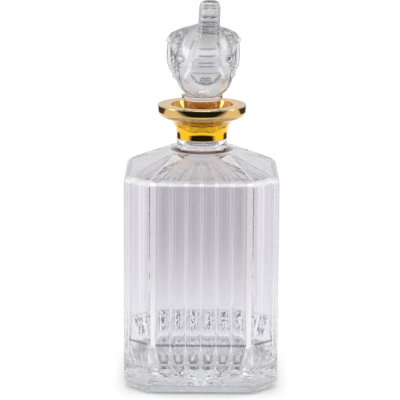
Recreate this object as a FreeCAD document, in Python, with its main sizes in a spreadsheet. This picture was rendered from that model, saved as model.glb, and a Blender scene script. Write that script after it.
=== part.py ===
# Square crystal decanter with cut corners, a fluted cavity, a gilt collar and an elephant-head stopper.
# Millimetres, +Z up, front towards -Y, origin at the centre of the face that it stands on.
import FreeCAD, Part
import math
import os
import Sketcher

# Driving dimensions: each is written once, and every other size follows from these.
SIZES = {
    # Vessel, outside
    "body_width": 100.0,
    "corner_cut": 15.9,
    "base_bevel_rise": 5.5,
    "base_bevel_inset": 5.3,
    "shoulder_height": 137.3,
    "shoulder_bevel_rise": 3.0,
    "shoulder_bevel_inset": 3.0,
    "shoulder_rise": 12.2,
    "crown_width": 41.0,
    "crown_corner_cut": 3.6,
    "neck_foot_fillet": 3.6,
    "neck_radius": 16.4,
    "bare_neck_length": 7.5,
    "collar_seat_length": 11.5,
    "collar_seat_depth": 0.7,
    # Vessel, cavity
    "wall": 5.5,
    "corner_wall": 6.7,
    "flute_depth": 1.2,
    "flutes_per_face": 6,
    "flutes_per_corner": 2,
    "base_thickness": 15.0,
    "floor_bevel_rise": 14.5,
    "floor_bevel_inset": 4.5,
    "cavity_shoulder_drop": 1.0,
    "crown_glass": 3.0,
    "bore_radius": 12.5,
    "bore_taper": 0.9,
    # Collar and its cement film
    "cement_film": 0.2,
    "sleeve_length": 3.5,
    "sleeve_wall": 0.7,
    "funnel_depth": 10.5,
    "throat_radius": 12.9,
    "mouth_radius": 20.2,
    "funnel_curve": 16.0,
    "rim_radius": 28.9,
    "rim_height": 4.2,
    "rim_round": 0.6,
    "rim_underside": 6.2,
    "flare_reach": 7.5,
    "flare_rise": 10.1,
    "flare_curve": 10.6,
    # Stopper plug and seal rings
    "stem_radius": 12.0,
    "stem_showing": 4.4,
    "stem_flange_radius": 13.3,
    "stem_flange_height": 1.7,
    "plug_length": 15.5,
    "plug_taper": 0.7,
    "plug_tip_chamfer": 1.0,
    "plug_waist": 0.3,
    "ring_cord": 2.2,
    "ring_clearance": 0.08,
    "ring_groove_width": 2.8,
    "upper_ring_drop": 4.0,
    "ring_spacing": 7.0,
    "bond_film": 0.2,
    # Elephant head, measured from its flat underside and from the stopper's axis
    "stopper_turn": 3.0,
    "head_foot_radius": 12.6,
    "skull_half_width": 18.0,
    "skull_half_depth": 18.5,
    "skull_half_height": 21.8,
    "skull_height": 25.8,
    "skull_back": 2.0,
    "muzzle_half_width": 15.2,
    "muzzle_half_depth": 15.5,
    "muzzle_half_height": 18.0,
    "muzzle_height": 18.6,
    "muzzle_front": 7.0,
    "trunk_root_radius": 12.5,
    "trunk_tip_radius": 6.8,
    "trunk_root_height": 20.0,
    "trunk_tip_height": 56.7,
    "trunk_root_reach": 8.0,
    "trunk_tip_reach": 15.5,
    "trunk_bulge": 7.5,
    "trunk_lean": 2.6,
    "ear_thickness": 4.0,
    "ear_edge_round": 1.5,
    "ear_sweep": 66.0,
    "ear_side": 15.3,
    "ear_back": 2.0,
    "ear_root": 4.0,
    "ear_top": 42.0,
    "ear_bottom": 3.0,
    "ear_reach": 14.3,
    "ear_outer_top": 34.5,
    "ear_outer_bottom": 15.5,
    "ear_top_curve": 21.0,
    "ear_outer_curve": 40.0,
    "ear_lower_curve": 27.0,
    "mouth_width": 19.0,
    "mouth_line_height": 16.6,
    "mouth_drop_curve": 10.1,
    "mouth_depth": 7.0,
}


class Size:
    """A length that carries its number and the sheet formula that gives it."""

    def __init__(self, value, formula):
        self.value = value
        self.formula = formula

    def __add__(self, other):
        other = as_size(other)
        return Size(self.value + other.value, f"({self.formula} + {other.formula})")

    def __sub__(self, other):
        other = as_size(other)
        return Size(self.value - other.value, f"({self.formula} - {other.formula})")

    def __mul__(self, other):
        other = as_size(other)
        return Size(self.value * other.value, f"({self.formula} * {other.formula})")

    def __truediv__(self, other):
        other = as_size(other)
        return Size(self.value / other.value, f"({self.formula} / {other.formula})")


def as_size(term):
    if isinstance(term, Size):
        return term
    return Size(float(term), f"({float(term)!r})")


doc = FreeCAD.newDocument("decanter")
sheet = doc.addObject("Spreadsheet::Sheet", "Sizes")
for row, (alias, number) in enumerate(SIZES.items(), start=1):
    sheet.set(f"A{row}", alias.replace("_", " "))
    sheet.set(f"B{row}", str(number))
    sheet.setAlias(f"B{row}", alias)
doc.recompute()


def size(alias):
    return Size(float(sheet.get(alias)), f"Sizes.{alias}")


def origin_plane(body, role):
    return next(plane for plane in body.Origin.OriginFeatures if plane.Role == role)


def new_sketch(body, name, role):
    sketch = body.newObject("Sketcher::SketchObject", name)
    sketch.AttachmentSupport = [(origin_plane(body, role), "")]
    sketch.MapMode = "FlatFace"
    return sketch


def hold_distance(sketch, kind, first, second, length):
    """Dimension from one sketch point to another, bound to the sheet."""
    index = sketch.addConstraint(Sketcher.Constraint(kind, *first, *second, length.value))
    sketch.setExpression(f"Constraints[{index}]", length.formula)


SKETCH_ORIGIN = (-1, 1)
SKETCH_X_AXIS_INDEX = -1
SKETCH_Y_AXIS_INDEX = -2


def octagon_sketch(body, name, half, flat, height):
    """Square of half width `half`, corners cut to leave flats of half length `flat`, at a height."""
    sketch = new_sketch(body, name, "XY_Plane")
    sketch.setExpression("AttachmentOffset.Base.z", height.formula)
    h = half.value
    f = flat.value
    corners = [(h, -f), (h, f), (f, h), (-f, h), (-h, f), (-h, -f), (-f, -h), (f, -h)]
    points = [FreeCAD.Vector(x, y, 0) for x, y in corners]
    for index, start in enumerate(points):
        sketch.addGeometry(Part.LineSegment(start, points[(index + 1) % 8]))
    for index in range(8):
        sketch.addConstraint(Sketcher.Constraint("Coincident", index, 2, (index + 1) % 8, 1))
    for line in (0, 4):
        sketch.addConstraint(Sketcher.Constraint("Symmetric", line, 1, line, 2, SKETCH_X_AXIS_INDEX))
    for line in (2, 6):
        sketch.addConstraint(Sketcher.Constraint("Symmetric", line, 1, line, 2, SKETCH_Y_AXIS_INDEX))
    hold_distance(sketch, "DistanceX", SKETCH_ORIGIN, (0, 2), half)
    hold_distance(sketch, "DistanceY", SKETCH_ORIGIN, (0, 2), flat)
    hold_distance(sketch, "DistanceX", SKETCH_ORIGIN, (2, 1), flat)
    hold_distance(sketch, "DistanceY", SKETCH_ORIGIN, (2, 1), half)
    hold_distance(sketch, "DistanceX", (4, 1), SKETCH_ORIGIN, half)
    hold_distance(sketch, "DistanceY", SKETCH_ORIGIN, (4, 1), flat)
    hold_distance(sketch, "DistanceX", SKETCH_ORIGIN, (6, 2), flat)
    hold_distance(sketch, "DistanceY", (6, 2), SKETCH_ORIGIN, half)
    return sketch


LINE = (None, 0)


def left(radius):
    """Arc that swings out to the left of the way the outline runs."""
    return (radius, 1)


def right(radius):
    """Arc that swings out to the right of the way the outline runs."""
    return (radius, -1)


def arc_middle(start, end, radius, side):
    chord = end - start
    sagitta = radius - math.sqrt(radius ** 2 - chord.Length ** 2 / 4)
    normal = FreeCAD.Vector(-chord.y, chord.x, 0).normalize()
    return (start + end) / 2 + normal * sagitta * side


def outline_sketch(body, name, corners):
    """Closed outline on the XZ plane: corners are (across, up, link to the next corner)."""
    sketch = new_sketch(body, name, "XZ_Plane")
    points = [FreeCAD.Vector(across.value, up.value, 0) for across, up, link in corners]
    count = len(corners)
    ends = []
    for index, (across, up, (radius, side)) in enumerate(corners):
        start = points[index]
        end = points[(index + 1) % count]
        if radius is None:
            edge = sketch.addGeometry(Part.LineSegment(start, end))
        else:
            middle = arc_middle(start, end, radius.value, side)
            edge = sketch.addGeometry(Part.Arc(start, middle, end))
        runs_forward = side <= 0
        ends.append(((edge, 1), (edge, 2)) if runs_forward else ((edge, 2), (edge, 1)))
    for index, (across, up, (radius, side)) in enumerate(corners):
        sketch.addConstraint(Sketcher.Constraint("Coincident", *ends[index][1], *ends[(index + 1) % count][0]))
        corner = ends[index][0]
        hold_coordinate(sketch, "DistanceX", SKETCH_Y_AXIS_INDEX, corner, across)
        hold_coordinate(sketch, "DistanceY", SKETCH_X_AXIS_INDEX, corner, up)
        if radius is not None:
            held = sketch.addConstraint(Sketcher.Constraint("Radius", ends[index][0][0], radius.value))
            sketch.setExpression(f"Constraints[{held}]", radius.formula)
    return sketch


def hold_coordinate(sketch, kind, axis, corner, length):
    """Distance of an outline's corner from the origin, on either side of it."""
    if length.value == 0:
        sketch.addConstraint(Sketcher.Constraint("PointOnObject", *corner, axis))
    elif length.value > 0:
        hold_distance(sketch, kind, SKETCH_ORIGIN, corner, length)
    else:
        hold_distance(sketch, kind, corner, SKETCH_ORIGIN, as_size(0) - length)


def revolve(body, name, corners):
    """Solid of revolution about Z from an outline of (radius, height, link)."""
    sketch = outline_sketch(body, name + "_profile", corners)
    feature = body.newObject("PartDesign::Revolution", name)
    feature.Profile = sketch
    feature.ReferenceAxis = (sketch, ["V_Axis"])
    feature.Angle = 360
    doc.recompute()
    return feature


def turned_part(label, corners):
    body = doc.addObject("PartDesign::Body", label)
    revolve(body, label + "_turned", corners)
    return body


def bind(item, **formulas):
    for name, length in formulas.items():
        item.setExpression(name, length.formula)


AXIS = as_size(0)
ROOT_TWO = math.sqrt(2)


def cut_flat(half, corner_distance):
    """Half length of the flats of a cut-corner square, from the distance to its corner faces."""
    return corner_distance * ROOT_TWO - half


# Heights and widths that several pieces share.
body_half = size("body_width") / 2
body_flat = body_half - size("corner_cut")
corner_distance = (body_half + body_flat) / ROOT_TWO
bevel_top = size("shoulder_height") + size("shoulder_bevel_rise")
crown_height = bevel_top + size("shoulder_rise")
seat_height = crown_height + size("bare_neck_length")
lip_height = seat_height + size("collar_seat_length")
seat_radius = size("neck_radius") - size("collar_seat_depth")
ledge_height = lip_height + size("cement_film")
collar_top = ledge_height + size("funnel_depth")
cavity_top = crown_height - size("crown_glass")
bore_bottom_radius = size("bore_radius") - size("bore_taper")


def make_vessel_form():
    """Outside of the bottle: a ruled loft through five cut-corner squares, and the turned neck."""
    body = doc.addObject("PartDesign::Body", "vessel_form")
    base_half = body_half - size("base_bevel_inset")
    bevel_half = body_half - size("shoulder_bevel_inset")
    crown_half = size("crown_width") / 2
    levels = [
        ("base", base_half, cut_flat(base_half, corner_distance - size("base_bevel_inset")), AXIS),
        ("wall_foot", body_half, body_flat, size("base_bevel_rise")),
        ("wall_head", body_half, body_flat, size("shoulder_height")),
        ("bevel", bevel_half, cut_flat(bevel_half, corner_distance - size("shoulder_bevel_inset")), bevel_top),
        ("crown", crown_half, crown_half - size("crown_corner_cut"), crown_height),
    ]
    sketches = [octagon_sketch(body, name, half, flat, height) for name, half, flat, height in levels]
    loft = body.newObject("PartDesign::AdditiveLoft", "facets")
    loft.Profile = sketches[0]
    loft.Sections = sketches[1:]
    loft.Ruled = True
    doc.recompute()
    foot_radius = size("neck_radius") + size("neck_foot_fillet")
    revolve(body, "neck", [
        (AXIS, cavity_top, LINE),
        (foot_radius, cavity_top, LINE),
        (foot_radius, crown_height, left(size("neck_foot_fillet"))),
        (size("neck_radius"), crown_height + size("neck_foot_fillet"), LINE),
        (size("neck_radius"), seat_height, LINE),
        (seat_radius, seat_height, LINE),
        (seat_radius, lip_height, LINE),
        (AXIS, lip_height, LINE),
    ])
    return body


def flute_ridges(half, flat, height):
    """Points round a cut-corner square where neighbouring flutes meet, with each flute's outward way."""
    corners = [(half, -flat), (half, flat), (flat, half), (-flat, half),
               (-half, flat), (-half, -flat), (-flat, -half), (flat, -half)]
    counts = [int(size("flutes_per_face").value), int(size("flutes_per_corner").value)]
    ridges = []
    for side in range(8):
        start = FreeCAD.Vector(*corners[side], height)
        end = FreeCAD.Vector(*corners[(side + 1) % 8], height)
        outward = FreeCAD.Vector(end.y - start.y, start.x - end.x, 0).normalize()
        count = counts[side % 2]
        for step in range(count):
            ridges.append((start + (end - start) * (step / count), outward))
    return ridges


def fluted_wire(ridges, depth):
    arcs = []
    for index, (start, outward) in enumerate(ridges):
        end = ridges[(index + 1) % len(ridges)][0]
        arcs.append(Part.Arc(start, (start + end) / 2 + outward * depth, end).toShape())
    return Part.Wire(arcs)


def round_wire(ridges, radius, height):
    """Circle split into as many arcs as there are flutes, so that each flute runs out on one arc."""
    angles = [math.atan2(point.y, point.x) for point, outward in ridges]
    arcs = []
    for index, start in enumerate(angles):
        end = angles[(index + 1) % len(angles)]
        if end < start:
            end += 2 * math.pi
        spots = [FreeCAD.Vector(radius * math.cos(a), radius * math.sin(a), height)
                 for a in (start, (start + end) / 2, end)]
        arcs.append(Part.Arc(*spots).toShape())
    return Part.Wire(arcs)


def make_cavity_core():
    """Inside of the bottle: fluted walls that run out in the round neck, and the tapered bore."""
    depth = size("flute_depth").value
    half = (body_half - size("wall") - size("flute_depth")).value
    corner = (corner_distance - size("corner_wall") - size("flute_depth")).value
    inset = size("floor_bevel_inset").value
    floor_height = size("base_thickness").value
    wall_foot = floor_height + size("floor_bevel_rise").value
    wall_head = size("shoulder_height").value - size("cavity_shoulder_drop").value
    flat = cut_flat(half, corner)
    floor_half = half - inset
    floor = flute_ridges(floor_half, cut_flat(floor_half, corner - inset), floor_height)
    foot = flute_ridges(half, flat, wall_foot)
    head = flute_ridges(half, flat, wall_head)
    sections = [fluted_wire(level, depth) for level in (floor, foot, head)]
    sections.append(round_wire(head, bore_bottom_radius.value, cavity_top.value))
    hollow = Part.makeLoft(sections, True, True)
    bore_length = (lip_height - cavity_top).value
    bore = Part.makeCone(bore_bottom_radius.value, size("bore_radius").value, bore_length,
                         FreeCAD.Vector(0, 0, cavity_top.value))
    core = doc.addObject("Part::Feature", "cavity_core")
    core.Shape = hollow.fuse(bore).removeSplitter()
    return core


def make_decanter_body():
    body = doc.addObject("Part::Cut", "decanter_body")
    body.Base = make_vessel_form()
    body.Tool = make_cavity_core()
    return body


def make_neck_collar():
    """Gilt collar: thin sleeve on the neck, hollow flare, upright rim and a pouring funnel."""
    sleeve_bore = seat_radius + size("cement_film")
    sleeve_outer = sleeve_bore + size("sleeve_wall")
    flare_foot = seat_height + size("sleeve_length")
    rim = size("rim_radius")
    rounding = size("rim_round")
    return turned_part("neck_collar", [
        (sleeve_bore, seat_height, LINE),
        (sleeve_outer, seat_height, LINE),
        (sleeve_outer, flare_foot, left(size("flare_curve"))),
        (sleeve_outer + size("flare_reach"), flare_foot + size("flare_rise"), right(size("rim_underside"))),
        (rim, collar_top - size("rim_height"), LINE),
        (rim, collar_top - rounding, right(rounding)),
        (rim - rounding, collar_top, LINE),
        (size("mouth_radius"), collar_top, left(size("funnel_curve"))),
        (size("throat_radius"), ledge_height, LINE),
        (sleeve_bore, ledge_height, LINE),
    ])


def make_collar_cement():
    """Film between the collar and the glass: round the neck's seat and over its lip."""
    sleeve_bore = seat_radius + size("cement_film")
    return turned_part("collar_cement", [
        (seat_radius, seat_height, LINE),
        (sleeve_bore, seat_height, LINE),
        (sleeve_bore, ledge_height, LINE),
        (size("throat_radius"), ledge_height, LINE),
        (size("throat_radius"), lip_height, LINE),
        (seat_radius, lip_height, LINE),
    ])


stem_foot = lip_height
plug_bottom = stem_foot - size("plug_length")
stem_head = collar_top + size("stem_showing")
plug_top = stem_head + size("stem_flange_height")
head_base = plug_top + size("bond_film")
plug_head_radius = size("stem_radius") - size("plug_waist")
upper_ring = lip_height - size("upper_ring_drop")
lower_ring = upper_ring - size("ring_spacing")


def bore_radius_at(height):
    return size("bore_radius") - size("bore_taper") * (lip_height - height) / (lip_height - cavity_top)


def plug_radius_at(height):
    return plug_head_radius - size("plug_taper") * (stem_foot - height) / size("plug_length")


def ring_middle_at(height):
    return bore_radius_at(height) - size("ring_clearance") - size("ring_cord") / 2


def groove_corners(height):
    """Square groove for a seal ring: four corners from the lower edge up."""
    floor = ring_middle_at(height) - size("ring_cord") / 2 - size("ring_clearance")
    low = height - size("ring_groove_width") / 2
    high = height + size("ring_groove_width") / 2
    return [
        (plug_radius_at(low), low, LINE),
        (floor, low, LINE),
        (floor, high, LINE),
        (plug_radius_at(high), high, LINE),
    ]


def make_stopper_plug():
    """Stem with its top flange, and the tapered plug with two ring grooves."""
    chamfer = size("plug_tip_chamfer")
    chamfer_height = plug_bottom + chamfer
    stem = size("stem_radius")
    flange = size("stem_flange_radius")
    return turned_part("stopper_plug", [
        (AXIS, plug_bottom, LINE),
        (plug_radius_at(plug_bottom) - chamfer, plug_bottom, LINE),
        (plug_radius_at(chamfer_height), chamfer_height, LINE),
        *groove_corners(lower_ring),
        *groove_corners(upper_ring),
        (plug_head_radius, stem_foot, LINE),
        (stem, stem_foot + size("plug_waist"), LINE),
        (stem, stem_head - (flange - stem), left(flange - stem)),
        (flange, stem_head, LINE),
        (flange, plug_top, LINE),
        (AXIS, plug_top, LINE),
    ])


def make_seal_rings():
    rings = []
    for name, height in (("lower_ring", lower_ring), ("upper_ring", upper_ring)):
        ring = doc.addObject("Part::Torus", name)
        bind(ring, Radius1=ring_middle_at(height), Radius2=size("ring_cord") / 2)
        ring.setExpression("Placement.Base.z", height.formula)
        rings.append(ring)
    pair = doc.addObject("Part::Compound", "seal_rings")
    pair.Links = rings
    return pair


def make_head_bond():
    bond = doc.addObject("Part::Cylinder", "head_bond")
    bind(bond, Radius=size("head_foot_radius") - size("bond_film"), Height=size("bond_film"))
    bond.setExpression("Placement.Base.z", plug_top.formula)
    return bond


# Points round each ring of the head, and the rings' heights as shares of the way to the crown.
HEAD_RING_POINTS = 16
HEAD_LEVELS = (0.0, 0.07, 0.18, 0.34, 0.52, 0.68, 0.83, 0.94, 0.99)


def swell(name, height):
    """Share of a swelling's breadth that is left at a height: 1 at its middle, 0 past its ends."""
    offset = (height - size(f"{name}_height").value) / size(f"{name}_half_height").value
    return math.sqrt(max(0.0, 1.0 - offset ** 2))


def head_level(height):
    """Half width, front and back of the head at a height, the widest of foot, muzzle and skull."""
    skull = swell("skull", height)
    muzzle = swell("muzzle", height)
    foot = size("head_foot_radius").value
    if height > size("muzzle_height").value:
        foot = 0.0
    half_width = max(foot, size("skull_half_width").value * skull, size("muzzle_half_width").value * muzzle)
    skull_front = size("skull_half_depth").value * skull - size("skull_back").value
    skull_rear = size("skull_half_depth").value * skull + size("skull_back").value
    muzzle_front = size("muzzle_half_depth").value * muzzle + size("muzzle_front").value * (muzzle > 0)
    return half_width, max(foot, skull_front, muzzle_front), max(foot, skull_rear)


def head_ring(height):
    """Egg-shaped ring round the head: its front and back halves have their own depths."""
    half_width, front, rear = head_level(height)
    points = []
    for step in range(HEAD_RING_POINTS):
        angle = 2 * math.pi * step / HEAD_RING_POINTS
        depth = rear if math.sin(angle) > 0 else front
        points.append(FreeCAD.Vector(half_width * math.cos(angle), depth * math.sin(angle), height))
    curve = Part.BSplineCurve()
    curve.interpolate(points, PeriodicFlag=True)
    return Part.Wire(curve.toShape())


def make_head_form():
    """Skull, cheeks and jaw as one loft through egg-shaped rings, from the foot to the crown."""
    crown = size("skull_height").value + size("skull_half_height").value
    form = doc.addObject("Part::Feature", "head_form")
    form.Shape = Part.makeLoft([head_ring(crown * share) for share in HEAD_LEVELS], True, False)
    return form


# Rings along the trunk, and the slopes in degrees at which more rings round off its tip.
TRUNK_STATIONS = 8
TRUNK_TIP_ANGLES = (35, 60, 80)


def ring_across(centre, along, radius):
    return Part.Wire(Part.Circle(centre, along, radius).toShape())


def make_trunk():
    """Raised trunk: a loft through rings set square to a bowed path, with a rounded tip."""
    low = size("trunk_root_height").value
    rise = size("trunk_tip_height").value - low
    root_reach = size("trunk_root_reach").value
    advance = size("trunk_tip_reach").value - root_reach
    root_radius = size("trunk_root_radius").value
    tip_radius = size("trunk_tip_radius").value
    bulge = size("trunk_bulge").value
    lean = size("trunk_lean").value
    rings = []
    for station in range(TRUNK_STATIONS):
        share = station / (TRUNK_STATIONS - 1)
        swing = math.pi * share
        reach = root_reach + advance * share + bulge * math.sin(swing)
        centre = FreeCAD.Vector(lean * share, -reach, low + rise * share)
        along = FreeCAD.Vector(lean, -advance - bulge * math.pi * math.cos(swing), rise).normalize()
        rings.append(ring_across(centre, along, tip_radius + (root_radius - tip_radius) * (1 - share) ** 3))
    for angle in map(math.radians, TRUNK_TIP_ANGLES):
        rings.append(ring_across(centre + along * tip_radius * math.sin(angle), along,
                                 tip_radius * math.cos(angle)))
    trunk = doc.addObject("Part::Feature", "trunk")
    trunk.Shape = Part.makeLoft(rings, True, False)
    return trunk


def make_ear():
    """Right ear: a fan outlined by three arcs, swept back from the side of the skull."""
    ear = doc.addObject("PartDesign::Body", "ear")
    root = AXIS - size("ear_root")
    sketch = outline_sketch(ear, "ear_outline", [
        (root, size("ear_bottom"), right(size("ear_lower_curve"))),
        (size("ear_reach"), size("ear_outer_bottom"), right(size("ear_outer_curve"))),
        (size("ear_reach"), size("ear_outer_top"), right(size("ear_top_curve"))),
        (root, size("ear_top"), LINE),
    ])
    plate = ear.newObject("PartDesign::Pad", "ear_plate")
    plate.Profile = sketch
    plate.SideType = "Symmetric"
    bind(plate, Length=size("ear_thickness"))
    doc.recompute()
    edges = ear.newObject("PartDesign::Fillet", "ear_edges")
    edges.Base = (plate, [f"Edge{number}" for number in range(1, len(plate.Shape.Edges) + 1)])
    bind(edges, Radius=size("ear_edge_round"))
    ear.setExpression("Placement.Base.x", size("ear_side").formula)
    ear.setExpression("Placement.Base.y", size("ear_back").formula)
    ear.Placement.Rotation = FreeCAD.Rotation(FreeCAD.Vector(0, 0, 1), size("ear_sweep").value)
    doc.recompute()
    return ear


def mirrored_ear(ear):
    twin = doc.addObject("Part::Mirroring", "ear_twin")
    twin.Source = ear
    twin.Normal = FreeCAD.Vector(1, 0, 0)
    return twin


def make_mouth():
    """Cutter for the open mouth: a half moon sunk into the front of the muzzle."""
    mouth = doc.addObject("PartDesign::Body", "mouth")
    half = size("mouth_width") / 2
    sketch = outline_sketch(mouth, "mouth_outline", [
        (AXIS - half, size("mouth_line_height"), right(size("mouth_drop_curve"))),
        (half, size("mouth_line_height"), LINE),
    ])
    block = mouth.newObject("PartDesign::Pad", "mouth_block")
    block.Profile = sketch
    block.SideType = "Symmetric"
    bind(block, Length=size("mouth_depth") * 2)
    muzzle_tip = AXIS - size("muzzle_front") - size("muzzle_half_depth")
    mouth.setExpression("Placement.Base.y", muzzle_tip.formula)
    doc.recompute()
    return mouth


def make_elephant_head():
    """Pressed head: the lofted skull and jaw, two ears and the trunk, less the open mouth."""
    ear = make_ear()
    form = doc.addObject("Part::MultiFuse", "head_mass")
    form.Shapes = [make_head_form(), make_trunk(), ear, mirrored_ear(ear)]
    head = doc.addObject("Part::Cut", "elephant_head")
    head.Base = form
    head.Tool = make_mouth()
    doc.recompute()
    head.Placement.Rotation = FreeCAD.Rotation(FreeCAD.Vector(0, 0, 1), size("stopper_turn").value)
    head.setExpression("Placement.Base.z", head_base.formula)
    return head


SUB_PARTS = [
    make_decanter_body(),
    make_neck_collar(),
    make_collar_cement(),
    make_stopper_plug(),
    make_seal_rings(),
    make_head_bond(),
    make_elephant_head(),
]
doc.recompute()

for item in doc.Objects:
    if "Invalid" in item.State or "Error" in item.State:
        raise RuntimeError(f"{item.Label} did not compute: {item.State}")
for part in SUB_PARTS:
    if part.Shape.isNull() or not part.Shape.isValid():
        raise RuntimeError(f"{part.Label} has no valid shape")

os.makedirs("parts", exist_ok=True)
for part in SUB_PARTS:
    part.Shape.exportStep(f"parts/{part.Label}.step")
    box = part.Shape.BoundBox
    print(f"{part.Label}: {len(part.Shape.Solids)} solid, {part.Shape.Volume / 1000:.2f} cm3, "
          f"z {box.ZMin:.2f} to {box.ZMax:.2f}, {box.XLength:.2f} x {box.YLength:.2f} mm")
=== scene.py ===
# %% [markdown]
# # A crystal decanter with an elephant-head stopper
# The real object is a square bottle of clear crystal with cut corners. Its cavity is fluted, its neck
# wears a gilt collar, and its stopper is a solid glass elephant's head with the trunk raised.
# The CAD frame gives every place and size. This lesson rebuilds each piece as a smooth mesh that fits
# the frame, gives it a finish, and lights it as a plain studio would.

# %% Frame
import math

import bmesh
import bpy
import numpy as np
import openvdb
from mathutils import Matrix, Vector

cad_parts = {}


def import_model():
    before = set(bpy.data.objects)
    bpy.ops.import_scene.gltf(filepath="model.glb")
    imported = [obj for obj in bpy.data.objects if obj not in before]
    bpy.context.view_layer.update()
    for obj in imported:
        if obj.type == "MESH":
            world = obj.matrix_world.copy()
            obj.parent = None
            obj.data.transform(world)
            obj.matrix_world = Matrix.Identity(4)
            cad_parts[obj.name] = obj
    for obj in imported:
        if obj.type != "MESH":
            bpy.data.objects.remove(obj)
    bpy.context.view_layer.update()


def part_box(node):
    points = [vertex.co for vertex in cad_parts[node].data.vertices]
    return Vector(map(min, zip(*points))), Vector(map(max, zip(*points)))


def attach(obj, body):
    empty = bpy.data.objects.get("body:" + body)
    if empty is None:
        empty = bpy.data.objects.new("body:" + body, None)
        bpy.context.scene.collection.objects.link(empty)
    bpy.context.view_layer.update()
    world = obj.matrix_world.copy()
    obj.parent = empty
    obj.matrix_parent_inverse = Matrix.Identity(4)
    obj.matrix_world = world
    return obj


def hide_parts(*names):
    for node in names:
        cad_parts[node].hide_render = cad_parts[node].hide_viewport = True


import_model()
MM = 0.001

# %% [markdown]
# ## Camera
# The photograph looks a little down on the bottle through a long lens. Eight edges of the bottle and the
# collar were measured, and one camera was solved that puts all of them in place: its distance, height,
# tilt, small roll and focal length follow. A long lens keeps the upright walls nearly parallel.

# %% Camera
FRAME_PIXELS = 400
FOCAL_PIXELS = 2123.2
CAMERA_PLACE = Vector((-1.0, -1367.2, 409.4)) * MM
CAMERA_TILT = 0.2099
CAMERA_ROLL = 0.0059

camera_data = bpy.data.cameras.new("studio_camera")
camera_data.sensor_width = 36.0
camera_data.lens = camera_data.sensor_width * FOCAL_PIXELS / FRAME_PIXELS
camera_data.clip_end = 50.0
camera = bpy.data.objects.new("studio_camera", camera_data)
bpy.context.scene.collection.objects.link(camera)
camera.matrix_world = (
    Matrix.Translation(CAMERA_PLACE)
    @ Matrix.Rotation(math.pi / 2 - CAMERA_TILT, 4, "X")
    @ Matrix.Rotation(CAMERA_ROLL, 4, "Z")
)
bpy.context.scene.camera = camera
print("lens in mm:", round(camera_data.lens, 1))

# %% [markdown]
# ## Node helpers
# Materials, the world and Geometry Nodes are all node trees. One small class adds a node, sets its
# options and fills its sockets, so that each tree below reads as a list of steps.


# %% Node helpers
class Bench:
    """Adds nodes to one tree. A socket is filled by a value or by another node's output."""

    def __init__(self, tree):
        self.tree = tree

    def add(self, kind, sockets=None, **options):
        node = self.tree.nodes.new(kind)
        for name, value in options.items():
            setattr(node, name, value)
        self.fill(node, sockets or {})
        return node

    def fill(self, node, sockets):
        for key, value in sockets.items():
            if isinstance(value, bpy.types.NodeSocket):
                self.tree.links.new(value, node.inputs[key])
            else:
                node.inputs[key].default_value = value

    def math(self, operation, first, second=0.0):
        return self.add("ShaderNodeMath", {0: first, 1: second}, operation=operation).outputs[0]

    def vector(self, operation, first, second=(0.0, 0.0, 0.0)):
        return self.add("ShaderNodeVectorMath", {0: first, 1: second}, operation=operation).outputs[0]

    def scaled(self, vector, factor):
        node = self.add("ShaderNodeVectorMath", {0: vector, "Scale": factor}, operation="SCALE")
        return node.outputs[0]

    def ramp(self, value, low, high, to_low=0.0, to_high=1.0, kind="LINEAR"):
        node = self.add(
            "ShaderNodeMapRange",
            {"Value": value, "From Min": low, "From Max": high, "To Min": to_low, "To Max": to_high},
            interpolation_type=kind,
        )
        return node.outputs[0]

    def band(self, value, middle, half, soft):
        """1 within half of the middle, and 0 from a soft distance further."""
        away = self.math("ABSOLUTE", self.math("SUBTRACT", value, middle))
        return self.ramp(away, half + soft, half)

    def parts(self, vector):
        return self.add("ShaderNodeSeparateXYZ", {0: vector}).outputs

    def length(self, vector):
        return self.add("ShaderNodeVectorMath", {0: vector}, operation="LENGTH").outputs["Value"]

    def radius(self, place):
        """How far a place lies from the bottle's axis."""
        return self.length(self.vector("MULTIPLY", place, (1.0, 1.0, 0.0)))

    def asides(self, place):
        """The lesser and the greater of a place's distances from the axis along X and along Y."""
        aside = self.parts(self.vector("ABSOLUTE", place))
        return tuple(self.math(kind, aside["X"], aside["Y"]) for kind in ("MINIMUM", "MAXIMUM"))

    def noise(self, place, scale, detail, distortion=0.0):
        sockets = {"Vector": place, "Scale": scale, "Detail": detail, "Distortion": distortion}
        return self.add("ShaderNodeTexNoise", sockets).outputs["Fac"]

    def product(self, first, *others):
        for other in others:
            first = self.math("MULTIPLY", first, other)
        return first

    def mix_vector(self, factor, first, second):
        node = self.add("ShaderNodeMix", {0: factor, 4: first, 5: second}, data_type="VECTOR")
        return node.outputs[1]

    def mix_colour(self, factor, first, second):
        node = self.add("ShaderNodeMix", {0: factor, 6: first, 7: second}, data_type="RGBA")
        return node.outputs[2]


def new_material(name):
    material = bpy.data.materials.new(name)
    material.use_nodes = True
    shader = material.node_tree.nodes["Principled BSDF"]
    return material, Bench(material.node_tree), shader


print("node helpers ready")

# %% [markdown]
# ## Studio
# The bottle stands on a white table in a bright room. Glass and gilding show mostly what surrounds them,
# so the room matters as much as the lamps: it is white behind and beside the bottle, greyer overhead, and
# dark only in front, past the table's edge, where the photographer stands. That dark gives the gilt rim its
# black band.

# %% Studio room
WHITE = (1.0, 1.0, 1.0, 1.0)
PALE_WALL = (0.80, 0.80, 0.81, 1.0)
CEILING_GREY = (0.45, 0.45, 0.47, 1.0)
CEILING_IN_GLASS = (0.85, 0.85, 0.86, 1.0)
UNLIT_FRONT = (0.015, 0.017, 0.015, 1.0)
UNLIT_GROUND = (0.50, 0.49, 0.48, 1.0)
DIM_FRONT = (0.50, 0.50, 0.51, 1.0)
ROOM_FILL = (0.72, 0.72, 0.73, 1.0)
DARK_FACING = (0.40, 0.65)
DARK_RISE = (0.45, 0.05)
OVERHEAD_RISE = (0.2, 0.8)
GROUND_RISE = (-0.02, -0.06)


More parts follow.
